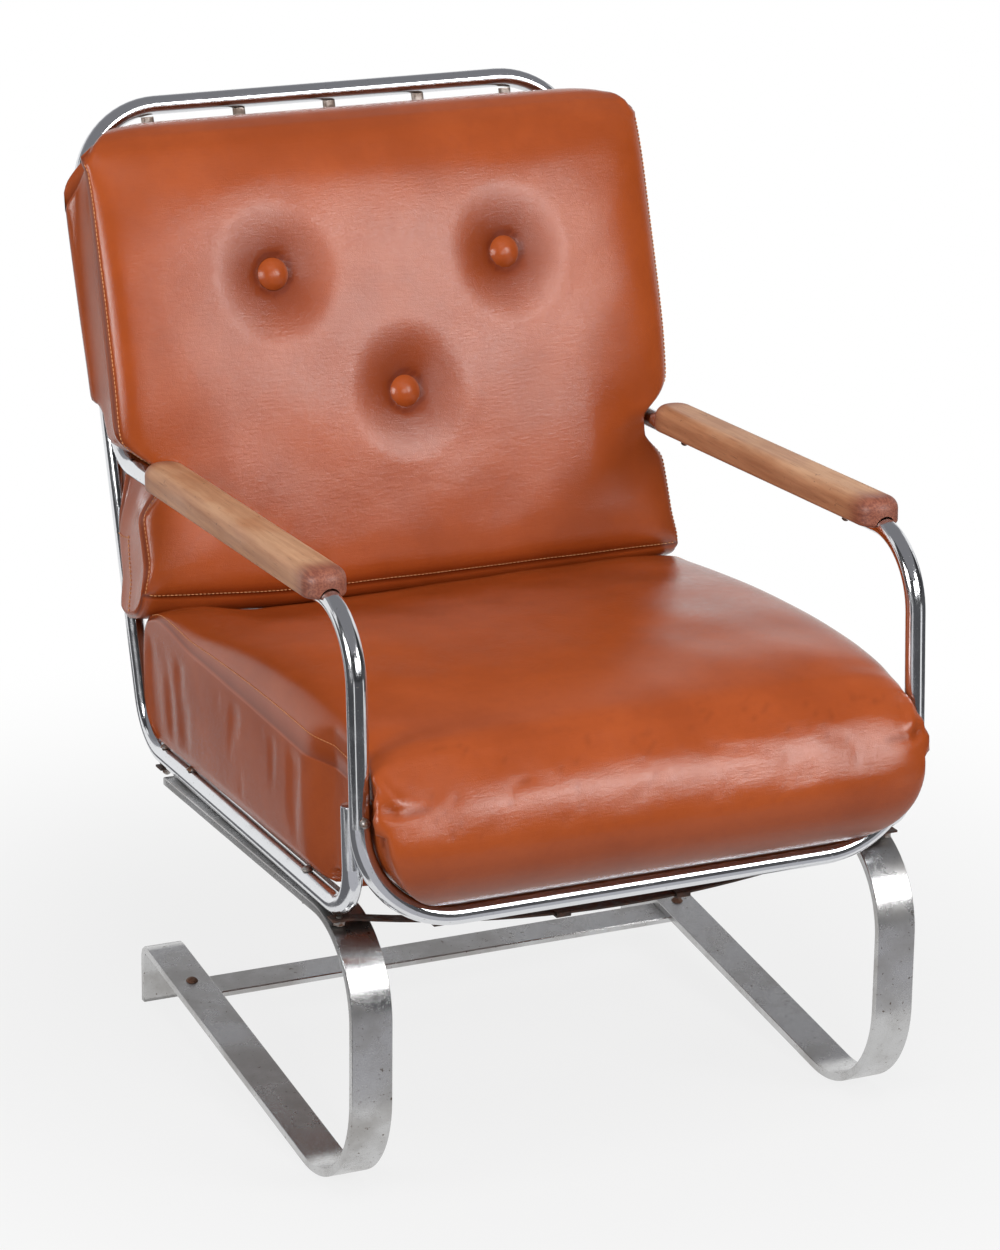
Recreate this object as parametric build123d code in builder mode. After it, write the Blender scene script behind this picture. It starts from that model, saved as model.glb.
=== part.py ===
"""Cantilever lounge chair: bent tubes, flat spring legs and loose leather cushions.

Millimetres, +Z up, floor at z = 0, the sitter faces -Y. In the side view y is measured
back from the axis of the front rail and z up from the floor; at() moves a side-view point
into the part's own frame, whose origin is under the middle of the chair.
"""
import os
from math import atan, atan2, cos, radians, sin, sqrt, tan

from build123d import *

os.makedirs("parts", exist_ok=True)

# Frame tubing
TUBE_OD = 19.05
TUBE_WALL = 1.65
TUBE_R = TUBE_OD / 2
TUBE_STEP = TUBE_OD + 0.2       # between the axes of two tubes side by side
FIT = 0.15                      # play round a bolt, or under a part that is seated
FRONT_HALF = 281.0              # from the middle to the tube axes at the front legs
FRAME_TAPER = 8.0               # the frame is narrower by this on each side at the back uprights
REAR_HALF = FRONT_HALF - FRAME_TAPER

# Arm loop: riser, arm, front leg and front rail
FRONT_RAIL_Z = 277.0
ARM_FRONT_Z = 565.0
LEG_SETBACK = 18.0              # the front leg leans back by this at the arm
ARM_FALL = radians(2.0)
RISER_LENGTH = 95.0
RISER_BEND = 50.0
ARM_BEND = 70.0
FRONT_CORNER = 95.0

# Back loop: upturn, seat rail, upright and top rail
UPTURN_TOP_Z = 386.0
UPTURN_BEND = 46.0
RAIL_FRONT_Z = 279.0
RAIL_REAR_Z = 270.5
REAR_CORNER_Y = 552.0
SEAT_BEND = 61.0
RECLINE = radians(17.85)
TOP_RAIL_Z = 868.0
TOP_CORNER = 86.0

# Flat spring legs and the bar that ties them
LEG_X = REAR_HALF - 3.6
LEG_WIDTH = 39.6
LEG_THICK = 8.0
LEG_EDGE = 1.0
LEG_TOP_END_Y = 472.0
LEG_FRONT_Y = 7.0               # middle of the strip's upright front
LEG_UPPER_R = 85.5
LEG_LOWER_R = 101.0
RUNNER_RISE = atan(0.13)
HEEL_Y = 538.0
HEEL_R = 10.0
LEG_BOLT_YS = (130.0, 430.0)
STRETCHER_Y = 452.0
STRETCHER_WIDTH = 34.0
STRETCHER_THICK = 6.4
STRETCHER_HALF = LEG_X + 14.6

# Fasteners
BOLT_D = 6.0
HEAD_D = 12.0
HEAD_H = 3.6
NUT_FLATS = 10.0
NUT_H = 4.6
BOLT_TIP = 1.4
DOME_NUT_D = 9.0
DOME_NUT_H = 7.0
JOINT_BOLT_D = 5.0
FRONT_JOINT_Z = 378.0
RISER_JOINT = 70.0              # along the riser from its corner
PLUG_DEPTH = 4.5

# Wooden armrests
ARM_WIDTH = 42.0
ARM_THICK = 26.5
ARM_DROP = 1.0                  # the underside lies this far below the tube axis
ARM_START_Y = 72.0
ARM_END_Y = 511.0
ARM_END_R = 20.0
ARM_EDGE_R = 12.0
ARM_SCREW_YS = (147.0, 471.0)
SCREW_D = 4.0
SCREW_HEAD_D = 8.0
SCREW_HEAD_H = 3.0
SCREW_BITE = 11.0

# Back slats and the rail that takes their lower ends
SLAT_PITCH = 0.359 * REAR_HALF
SLAT_WIDTH = 13.0
SLAT_THICK = 6.0
SLAT_COUNT = 5
LOWER_RAIL_OD = 16.0
LOWER_RAIL_WALL = 1.5
LOWER_RAIL_UP = 62.0            # along the upright from its lower corner

# Seat straps and bands
STRAP_WIDTH = 14.0
STRAP_THICK = 2.0
FRONT_STRAP_Y = 52.0
FRONT_STRAP_Z = 268.2
FRONT_STRAP_SAG = 29.0
REAR_STRAP_Y = 503.0
REAR_STRAP_SAG = 14.0
STRAP_TAB = 18.0
BAND_PITCH = 0.438 * FRONT_HALF
BAND_COUNT = 4
BAND_WIDTH = 14.0
BAND_THICK = 1.5
BAND_HOOK = 10.0

# Cushions
SEAT_FRONT = -46.0              # the foremost bulge of the seat cushion
SEAT_BACK = 546.0
SEAT_GAP = 0.4                  # over the rails
SEAT_HALF = FRONT_HALF - TUBE_R - 1.1   # passes between the front legs
SEAT_WIDE = SEAT_HALF + 14.6            # behind the front legs
SEAT_WIDE_Y = 100.0
SEAT_FRONT_H = 152.0
SEAT_CROWN_Y = 200.0
SEAT_CROWN_H = 166.0
SEAT_REST_Y = 500.0             # the back cushion stands here
SEAT_REST_H = 128.0
SEAT_BACK_H = 111.0
SEAT_FRONT_R = 68.0             # the rolled front edge
SEAT_BACK_R = 42.0
SEAT_SIDE_R = 38.0
SEAT_WIDE_R = 30.0
SEAT_LAP = 1.5                  # the wider part lies this far inside the crown
SEAT_PULL = 40.0                # the seat cushion draws forwards by this much
BACK_FACE = 10.0                # rear face of the back cushion, in front of the upright axes
BACK_BOTTOM = 118.0
BACK_TOP = 604.0
BACK_HALF = REAR_HALF + 29.0
BACK_TOP_OUT = 104.0
BACK_CROWN_UP = 380.0
BACK_CROWN_OUT = 119.0
BACK_BOTTOM_OUT = 100.0
BACK_EDGE_R = 40.0
BACK_SIDE_R = 36.0
WAIST_HALF = REAR_HALF - TUBE_R - 1.5   # passes between the arm tubes
TIP_ROOM = 14.0                 # room under the arm tubes while the back cushion tips
BUTTON_D = 32.0
BUTTON_H = 8.2
BUTTON_SEAT = 107.5
BUTTON_X = 0.4146 * BACK_HALF
UPPER_BUTTON_UP = 443.5
LOWER_BUTTON_UP = 315.5
DIMPLE_R = 54.0
STEM_D = 3.0
STEM_LENGTH = 12.0

# Places that follow from the sizes above
TOP_RAIL_Y = REAR_CORNER_Y + (TOP_RAIL_Z - RAIL_REAR_Z) * tan(RECLINE)
LEAN = atan2(LEG_SETBACK, ARM_FRONT_Z - FRONT_RAIL_Z)
SIDES = (-1, 1)


def at(x, y, z):
    """A side-view place as a point of the part's frame."""
    return Vector(x, Y0 + y, z)


def arm_z(y):
    """Height of the arm tube's axis."""
    return ARM_FRONT_Z - (y - LEG_SETBACK) * tan(ARM_FALL)


UPTURN_FOOT_Y = TUBE_STEP * cos(LEAN) + (RAIL_FRONT_Z - FRONT_RAIL_Z + TUBE_STEP * sin(LEAN)) * tan(LEAN)
RAIL_FALL = atan2(RAIL_FRONT_Z - RAIL_REAR_Z, REAR_CORNER_Y - UPTURN_FOOT_Y)
SEAT_ROLL_Y = (SEAT_FRONT + SEAT_FRONT_R) * cos(RAIL_FALL) + SEAT_FRONT_R * sin(RAIL_FALL)
SEAT_FOREMOST = SEAT_ROLL_Y - SEAT_FRONT_R
Y0 = -(TOP_RAIL_Y + TUBE_R + SEAT_FOREMOST) / 2


def rail_z(y):
    """Height of the seat rail's axis."""
    return RAIL_FRONT_Z - (y - UPTURN_FOOT_Y) * tan(RAIL_FALL)


def rail_x(y):
    """Distance of the seat rail's axis from the middle plane."""
    share = (y - UPTURN_FOOT_Y) / (REAR_CORNER_Y - UPTURN_FOOT_Y)
    return FRONT_HALF + (REAR_HALF - FRONT_HALF) * share


# The back's own plane: local y runs up the uprights, local z forwards out of the back
BACK = Plane(at(0, REAR_CORNER_Y, RAIL_REAR_Z), x_dir=(1, 0, 0), z_dir=(0, -cos(RECLINE), sin(RECLINE)))
TOP_RAIL_UP = (TOP_RAIL_Z - RAIL_REAR_Z) / cos(RECLINE)
RISER_Y = REAR_CORNER_Y - TUBE_STEP * cos(RECLINE)
RISER_Z = RAIL_REAR_Z + TUBE_STEP * sin(RECLINE)
RISER_FOOT = (arm_z(RISER_Y) - RISER_Z) / (cos(RECLINE) + tan(ARM_FALL) * sin(RECLINE))


def on_back(x, up, out):
    """A point given in the back's own plane."""
    return BACK.from_local_coords(Vector(x, up, out))


def leg_axis(x, z):
    """A point on the axis of a front leg."""
    return at(x, LEG_SETBACK * (z - FRONT_RAIL_Z) / (ARM_FRONT_Z - FRONT_RAIL_Z), z)


def facing(origin, direction):
    """A plane at a point whose normal is the given direction."""
    return Plane(origin, x_dir=(1, 0, 0), z_dir=direction)


FRONTWARDS = Vector(0, -cos(LEAN), sin(LEAN))
BACK_OUT = BACK.z_dir
UP = Vector(0, 0, 1)
RAIL_UP = Vector(0, sin(RAIL_FALL), cos(RAIL_FALL))


def bend_tube(points, radii):
    """Sweep the tube section along a line with rounded corners."""
    with BuildLine() as run:
        FilletPolyline(*points, radius=radii)
    with BuildSketch(Plane(run.line @ 0, z_dir=run.line % 0)) as ring:
        Circle(TUBE_R)
        Circle(TUBE_R - TUBE_WALL, mode=Mode.SUBTRACT)
    sweep(ring.sketch, path=run.line)


def drill(plane, diameter, reach):
    """Cut a round hole along the plane's normal, both ways."""
    with BuildSketch(plane) as hole:
        Circle(diameter / 2)
    extrude(hole.sketch, amount=reach, both=True, mode=Mode.SUBTRACT)


def spindle(plane, outline):
    """Turn a solid from (radius, height) points; a third value bulges the edge that ends there."""
    side = Plane(plane.origin, x_dir=plane.x_dir, z_dir=-plane.y_dir)
    with BuildSketch(side) as profile:
        with BuildLine():
            start = outline[0][:2]
            for point in outline[1:]:
                if len(point) == 3:
                    RadiusArc(start, point[:2], point[2])
                else:
                    Line(start, point)
                start = point[:2]
            Line(start, outline[0][:2])
        make_face()
    revolve(profile.sketch, axis=Axis(plane.origin, plane.z_dir))


def dome_bolt(plane, shank_d, length, head_d=HEAD_D, head_h=HEAD_H):
    """A round-headed bolt; the plane lies under its head and looks out through it."""
    dome_r = (head_d ** 2 / 4 + head_h ** 2) / (2 * head_h)
    spindle(plane, [(0, -length), (shank_d / 2, -length), (shank_d / 2, 0), (head_d / 2, 0),
                    (0, head_h, -dome_r)])


def hex_nut(plane, bore_d):
    """A plain nut that stands on the plane."""
    with BuildSketch(plane) as flats:
        RegularPolygon(NUT_FLATS / 2, 6, major_radius=False)
        Circle(bore_d / 2 + FIT, mode=Mode.SUBTRACT)
    extrude(flats.sketch, amount=NUT_H)


def dome_nut(plane, bore_d):
    """A closed round nut that stands on the plane, with a blind bore."""
    skirt = DOME_NUT_H - DOME_NUT_D / 2
    bore_r = bore_d / 2 + FIT
    spindle(plane, [(bore_r, 0), (DOME_NUT_D / 2, 0), (DOME_NUT_D / 2, skirt),
                    (0, DOME_NUT_H, -DOME_NUT_D / 2), (0, DOME_NUT_H - 2), (bore_r, DOME_NUT_H - 2)])


def save(built, label):
    """Name a finished sub-part and write it."""
    built.part.label = label
    export_step(built.part, f"parts/{label}.step")


# Where the bolts go
front_joints = [facing(leg_axis(side * FRONT_HALF, FRONT_JOINT_Z), FRONTWARDS) for side in SIDES]
riser_joints = [facing(on_back(side * REAR_HALF, RISER_FOOT + RISER_JOINT, 0), BACK_OUT) for side in SIDES]
leg_joints = [facing(at(side * rail_x(y), y, rail_z(y)), RAIL_UP) for side in SIDES for y in LEG_BOLT_YS]
rear_strap_joints = [facing(at(side * rail_x(REAR_STRAP_Y), REAR_STRAP_Y, rail_z(REAR_STRAP_Y)), RAIL_UP)
                     for side in SIDES]
ARM_UP = Vector(0, sin(ARM_FALL), cos(ARM_FALL))


def arm_x(y):
    """Distance of the arm tube's axis from the middle plane."""
    rear_y = RISER_Y + RISER_FOOT * sin(RECLINE)
    return FRONT_HALF + (REAR_HALF - FRONT_HALF) * (y - LEG_SETBACK) / (rear_y - LEG_SETBACK)


arm_screws = [facing(at(side * arm_x(y), y, arm_z(y)), ARM_UP) for side in SIDES for y in ARM_SCREW_YS]

# Arm loop
riser_top = RISER_FOOT + RISER_LENGTH
left_arm_points = [
    on_back(-REAR_HALF, riser_top, TUBE_STEP),
    on_back(-REAR_HALF, RISER_FOOT, TUBE_STEP),
    at(-FRONT_HALF, LEG_SETBACK, ARM_FRONT_Z),
    at(-FRONT_HALF, 0, FRONT_RAIL_Z),
]
right_arm_points = [Vector(-p.X, p.Y, p.Z) for p in reversed(left_arm_points)]
with BuildPart() as arm_frame_tube:
    bend_tube(left_arm_points + right_arm_points,
              [RISER_BEND, ARM_BEND, FRONT_CORNER, FRONT_CORNER, ARM_BEND, RISER_BEND])
    for joint in front_joints:
        drill(joint, JOINT_BOLT_D + 2 * FIT, TUBE_OD)
    for joint in riser_joints:
        drill(joint.offset(TUBE_STEP), JOINT_BOLT_D + 2 * FIT, TUBE_R + 1)
    for screw in arm_screws:
        drill(screw, SCREW_D + 2 * FIT, TUBE_OD)
save(arm_frame_tube, "arm_frame_tube")

# Back loop
left_back_points = [
    leg_axis(-FRONT_HALF, UPTURN_TOP_Z) - FRONTWARDS * TUBE_STEP,
    at(-FRONT_HALF, UPTURN_FOOT_Y, RAIL_FRONT_Z),
    at(-REAR_HALF, REAR_CORNER_Y, RAIL_REAR_Z),
    on_back(-REAR_HALF, TOP_RAIL_UP, 0),
]
right_back_points = [Vector(-p.X, p.Y, p.Z) for p in reversed(left_back_points)]
with BuildPart() as back_frame_tube:
    bend_tube(left_back_points + right_back_points,
              [UPTURN_BEND, SEAT_BEND, TOP_CORNER, TOP_CORNER, SEAT_BEND, UPTURN_BEND])
    for joint in front_joints:
        drill(joint.offset(-TUBE_STEP), JOINT_BOLT_D + 2 * FIT, TUBE_R + 1)
    for joint in riser_joints:
        drill(joint, JOINT_BOLT_D + 2 * FIT, TUBE_R + 1)
    for joint in leg_joints + rear_strap_joints:
        drill(joint, BOLT_D + 2 * FIT, TUBE_OD)
save(back_frame_tube, "back_frame_tube")

# Plugs in the four open tube ends
tube_ends = [facing(left_back_points[0], left_back_points[0] - left_back_points[1]),
             facing(right_back_points[-1], right_back_points[-1] - right_back_points[-2]),
             facing(left_arm_points[0], left_arm_points[0] - left_arm_points[1]),
             facing(right_arm_points[-1], right_arm_points[-1] - right_arm_points[-2])]
for ends, label in ((tube_ends[:2], "upturn_plugs"), (tube_ends[2:], "riser_plugs")):
    with BuildPart() as plugs:
        for end in ends:
            bore = TUBE_R - TUBE_WALL - FIT
            spindle(end, [(0, -PLUG_DEPTH), (bore, -PLUG_DEPTH), (bore, 0),
                          (TUBE_R - 0.4, 0), (TUBE_R - 0.4, 1.0), (0, 1.6)])
    save(plugs, label)

# Bolts that join the two loops
with BuildPart() as front_joint_bolts:
    for joint in front_joints:
        head = facing(joint.origin - FRONTWARDS * (TUBE_STEP + TUBE_R + FIT), -FRONTWARDS)
        dome_bolt(head, JOINT_BOLT_D, TUBE_STEP + TUBE_OD + DOME_NUT_H - 3, HEAD_D - 2)
save(front_joint_bolts, "front_joint_bolts")
with BuildPart() as front_joint_nuts:
    for joint in front_joints:
        dome_nut(joint.offset(TUBE_R + FIT), JOINT_BOLT_D)
save(front_joint_nuts, "front_joint_nuts")
with BuildPart() as riser_joint_bolts:
    for joint in riser_joints:
        grip = TUBE_STEP + TUBE_OD + DOME_NUT_H - 3
        dome_bolt(joint.offset(TUBE_STEP + TUBE_R + FIT), JOINT_BOLT_D, grip, HEAD_D - 2)
save(riser_joint_bolts, "riser_joint_bolts")
with BuildPart() as riser_joint_nuts:
    for joint in riser_joints:
        dome_nut(facing(joint.origin - BACK_OUT * (TUBE_R + FIT), -BACK_OUT), JOINT_BOLT_D)
save(riser_joint_nuts, "riser_joint_nuts")

# Spring legs: one flat strip each, from under the seat rail round the front to the heel
LEG_TOP_DROP = TUBE_R + FIT + LEG_THICK / 2
LEG_LOW_R = LEG_LOWER_R + LEG_THICK / 2
RUNNER_START_Y = LEG_FRONT_Y + LEG_LOWER_R + LEG_LOWER_R * sin(RUNNER_RISE)
RUNNER_START_Z = LEG_LOW_R - LEG_LOWER_R * cos(RUNNER_RISE)


def runner_z(y):
    """Height of the middle of the runner."""
    return RUNNER_START_Z + (y - RUNNER_START_Y) * tan(RUNNER_RISE)


RUNNER_UP = Vector(0, -sin(RUNNER_RISE), cos(RUNNER_RISE))
stretcher_joints = [facing(at(side * LEG_X, STRETCHER_Y, runner_z(STRETCHER_Y)), RUNNER_UP)
                    for side in SIDES]
for side, label in ((-1, "left_spring_leg"), (1, "right_spring_leg")):
    with BuildPart() as spring_leg:
        side_view = Plane(at(side * LEG_X, 0, 0), x_dir=(0, 1, 0), z_dir=(1, 0, 0))
        with BuildSketch(side_view):
            with BuildLine() as strip:
                FilletPolyline((LEG_TOP_END_Y, rail_z(LEG_TOP_END_Y) - LEG_TOP_DROP),
                               (LEG_FRONT_Y, rail_z(LEG_FRONT_Y) - LEG_TOP_DROP),
                               (LEG_FRONT_Y, runner_z(LEG_FRONT_Y)),
                               (HEEL_Y, runner_z(HEEL_Y)), (HEEL_Y, 0),
                               radius=[LEG_UPPER_R, LEG_LOWER_R, HEEL_R])
            trace(strip.line, line_width=LEG_THICK)
        extrude(amount=LEG_WIDTH / 2, both=True)
        chamfer(spring_leg.faces().filter_by(Axis.X).edges(), LEG_EDGE)
        for joint in leg_joints:
            drill(joint.offset(-LEG_TOP_DROP), BOLT_D + 2 * FIT, LEG_THICK)
        for joint in stretcher_joints:
            drill(joint, BOLT_D + 2 * FIT, LEG_THICK)
    save(spring_leg, label)

with BuildPart() as leg_bolts:
    for joint in leg_joints:
        dome_bolt(joint.offset(TUBE_R + FIT), BOLT_D, TUBE_OD + LEG_THICK + NUT_H + 3 * FIT + BOLT_TIP)
save(leg_bolts, "leg_bolts")
with BuildPart() as leg_nuts:
    for joint in leg_joints:
        hex_nut(facing(joint.origin - RAIL_UP * (LEG_TOP_DROP + LEG_THICK / 2 + FIT), -RAIL_UP), BOLT_D)
save(leg_nuts, "leg_nuts")

# Stretcher under the two runners
STRETCHER_DROP = LEG_THICK / 2 + FIT + STRETCHER_THICK / 2
with BuildPart() as stretcher_bar:
    under_runners = at(0, STRETCHER_Y, runner_z(STRETCHER_Y)) - RUNNER_UP * STRETCHER_DROP
    with BuildSketch(facing(under_runners, RUNNER_UP)):
        Rectangle(2 * STRETCHER_HALF, STRETCHER_WIDTH)
    extrude(amount=STRETCHER_THICK / 2, both=True)
    chamfer(stretcher_bar.edges().filter_by(Axis.X), LEG_EDGE)
    for joint in stretcher_joints:
        drill(joint.offset(-STRETCHER_DROP), BOLT_D + 2 * FIT, STRETCHER_THICK)
save(stretcher_bar, "stretcher_bar")
with BuildPart() as stretcher_bolts:
    for joint in stretcher_joints:
        dome_bolt(joint.offset(LEG_THICK / 2 + FIT), BOLT_D,
                  LEG_THICK + STRETCHER_THICK + NUT_H + 3 * FIT + BOLT_TIP)
save(stretcher_bolts, "stretcher_bolts")
with BuildPart() as stretcher_nuts:
    for joint in stretcher_joints:
        under = STRETCHER_DROP + STRETCHER_THICK / 2 + FIT
        hex_nut(facing(joint.origin - RUNNER_UP * under, -RUNNER_UP), BOLT_D)
save(stretcher_nuts, "stretcher_nuts")

# Wooden armrests, grooved underneath for the arm tube
for side, label in ((-1, "left_armrest"), (1, "right_armrest")):
    middle_y = (ARM_START_Y + ARM_END_Y) / 2
    along = at(side * arm_x(ARM_END_Y), ARM_END_Y, arm_z(ARM_END_Y)) - at(
        side * arm_x(ARM_START_Y), ARM_START_Y, arm_z(ARM_START_Y))
    across = along.cross(Vector(0, 0, 1)).normalized()
    middle = at(side * arm_x(middle_y), middle_y, arm_z(middle_y))
    seat = Plane(middle, x_dir=along, z_dir=across.cross(along))
    with BuildPart() as armrest:
        with BuildSketch(seat.offset(-ARM_DROP)):
            RectangleRounded(along.length, ARM_WIDTH, ARM_END_R)
        extrude(amount=ARM_THICK)
        fillet(armrest.faces().sort_by(Axis(seat.origin, seat.z_dir))[-1].edges(), ARM_EDGE_R)
        fillet(armrest.faces().sort_by(Axis(seat.origin, seat.z_dir))[0].edges(), ARM_EDGE_R / 3)
        groove = Plane(seat.origin - along, x_dir=seat.y_dir, z_dir=along)
        with BuildSketch(groove):
            Circle(TUBE_R + FIT)
            with Locations((0, -TUBE_OD)):
                Rectangle(TUBE_OD + 2 * FIT, 2 * TUBE_OD)
        extrude(amount=2 * along.length, mode=Mode.SUBTRACT)
        for screw in arm_screws:
            drill(screw, SCREW_D + 2 * FIT, TUBE_R + SCREW_BITE + FIT)
    save(armrest, label)
with BuildPart() as armrest_screws:
    for screw in arm_screws:
        dome_bolt(facing(screw.origin - ARM_UP * (TUBE_R + FIT), -ARM_UP), SCREW_D, TUBE_OD + SCREW_BITE,
                  SCREW_HEAD_D, SCREW_HEAD_H)
save(armrest_screws, "armrest_screws")

# Lower back rail between the uprights, and the five back slats
with BuildPart() as lower_back_rail:
    with BuildSketch(Plane(on_back(0, LOWER_RAIL_UP, 0), x_dir=BACK.y_dir, z_dir=(1, 0, 0))):
        Circle(LOWER_RAIL_OD / 2)
        Circle(LOWER_RAIL_OD / 2 - LOWER_RAIL_WALL, mode=Mode.SUBTRACT)
    extrude(amount=REAR_HALF, both=True)
    for side in SIDES:
        drill(facing(on_back(side * REAR_HALF, LOWER_RAIL_UP, 0), BACK.y_dir), TUBE_OD + FIT, 2 * TUBE_OD)
save(lower_back_rail, "lower_back_rail")
slat_foot = LOWER_RAIL_UP + LOWER_RAIL_OD / 2 + FIT
for i in range(SLAT_COUNT):
    slat_x = (i - (SLAT_COUNT - 1) / 2) * SLAT_PITCH
    into_corner = max(0, abs(slat_x) + SLAT_WIDTH / 2 - REAR_HALF + TOP_CORNER)
    corner_drop = TOP_CORNER - sqrt((TOP_CORNER - TUBE_OD) ** 2 - into_corner ** 2) - TUBE_OD
    slat_head = TOP_RAIL_UP - corner_drop - TUBE_R - FIT
    with BuildPart() as back_slat:
        with BuildSketch(Plane(on_back(slat_x, slat_foot, 0), x_dir=(1, 0, 0), z_dir=BACK.y_dir)):
            SlotOverall(SLAT_WIDTH, SLAT_THICK)
        extrude(amount=slat_head - slat_foot)
    save(back_slat, f"back_slat_{i + 1}")

# Cross straps that sag between the seat rails, with flat tabs under the tubes
REAR_STRAP_Z = rail_z(REAR_STRAP_Y) - TUBE_R - FIT - STRAP_THICK / 2


def strap_drop(x, half, sag):
    """How far a sagging strap hangs below its tabs at x."""
    radius = (half ** 2 + sag ** 2) / (2 * sag)
    return sqrt(radius ** 2 - x ** 2) - (radius - sag)


front_half = FRONT_HALF - STRAP_TAB / 2
rear_half = rail_x(REAR_STRAP_Y) - STRAP_TAB / 2
straps = (("front_seat_strap", FRONT_STRAP_Y, FRONT_STRAP_Z, front_half, FRONT_STRAP_SAG),
          ("rear_seat_strap", REAR_STRAP_Y, REAR_STRAP_Z, rear_half, REAR_STRAP_SAG))
for label, y, z, half, sag in straps:
    with BuildPart() as seat_strap:
        with BuildSketch(Plane(at(0, y, z), x_dir=(1, 0, 0), z_dir=(0, -1, 0))):
            with BuildLine() as hang:
                Line((-half - STRAP_TAB, 0), (-half, 0))
                ThreePointArc((-half, 0), (0, -sag), (half, 0))
                Line((half, 0), (half + STRAP_TAB, 0))
            trace(hang.line, line_width=STRAP_THICK)
        extrude(amount=STRAP_WIDTH / 2, both=True)
        for side in SIDES:
            drill(facing(at(side * (half + STRAP_TAB / 2), y, z), UP), BOLT_D + 6 * FIT, 3 * STRAP_THICK)
    save(seat_strap, label)

# Welded studs and nuts hold the front strap, bolts and closed nuts the rear one
STUD_RISE = 1.0
stud_top = FRONT_STRAP_Z + STRAP_THICK / 2 + STUD_RISE
with BuildPart() as front_strap_studs:
    for side in SIDES:
        with BuildSketch(Plane(at(side * FRONT_HALF, FRONT_STRAP_Y, stud_top))):
            Circle(BOLT_D / 2)
        extrude(amount=-(STUD_RISE + STRAP_THICK + NUT_H + FIT + BOLT_TIP))
save(front_strap_studs, "front_strap_studs")
with BuildPart() as front_strap_nuts:
    for side in SIDES:
        under_strap = FRONT_STRAP_Z - STRAP_THICK / 2 - FIT
        hex_nut(facing(at(side * FRONT_HALF, FRONT_STRAP_Y, under_strap), -UP), BOLT_D)
save(front_strap_nuts, "front_strap_nuts")
with BuildPart() as rear_strap_bolts:
    for joint in rear_strap_joints:
        dome_bolt(joint.offset(TUBE_R + FIT), BOLT_D, TUBE_OD + STRAP_THICK + 3 * FIT + DOME_NUT_H - 3)
save(rear_strap_bolts, "rear_strap_bolts")
with BuildPart() as rear_strap_nuts:
    for joint in rear_strap_joints:
        dome_nut(facing(joint.origin - RAIL_UP * (TUBE_R + STRAP_THICK + 3 * FIT), -RAIL_UP), BOLT_D)
save(rear_strap_nuts, "rear_strap_nuts")

# Steel bands from strap to strap, hooked round both
for i in range(BAND_COUNT):
    x = (i - (BAND_COUNT - 1) / 2) * BAND_PITCH
    ends = []
    for label, y, z, half, sag in straps:
        inner_drop = strap_drop(abs(x) - BAND_WIDTH / 2, half, sag)
        edge_rise = inner_drop - strap_drop(abs(x) + BAND_WIDTH / 2, half, sag)
        lift = (STRAP_THICK + BAND_THICK + edge_rise) / 2 + FIT
        ends.append((y, z - strap_drop(x, half, sag), lift))
    (front_y, front_z, front_lift), (rear_y, rear_z, rear_lift) = ends
    with BuildPart() as seat_band:
        with BuildSketch(Plane(at(x, 0, 0), x_dir=(0, 1, 0), z_dir=(1, 0, 0))):
            with BuildLine() as band:
                FilletPolyline((front_y + BAND_HOOK / 2, front_z - front_lift),
                               (front_y - BAND_HOOK, front_z - front_lift),
                               (front_y - BAND_HOOK, front_z + front_lift),
                               (front_y + BAND_HOOK, front_z + front_lift),
                               (rear_y - BAND_HOOK, rear_z + rear_lift),
                               (rear_y + BAND_HOOK, rear_z + rear_lift),
                               (rear_y + BAND_HOOK, rear_z - rear_lift),
                               (rear_y - BAND_HOOK / 2, rear_z - rear_lift),
                               radius=[1.4, 1.4, 8, 8, 1.4, 1.4])
            trace(band.line, line_width=BAND_THICK)
        extrude(amount=BAND_WIDTH / 2, both=True)
    save(seat_band, f"seat_band_{i + 1}")

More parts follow.
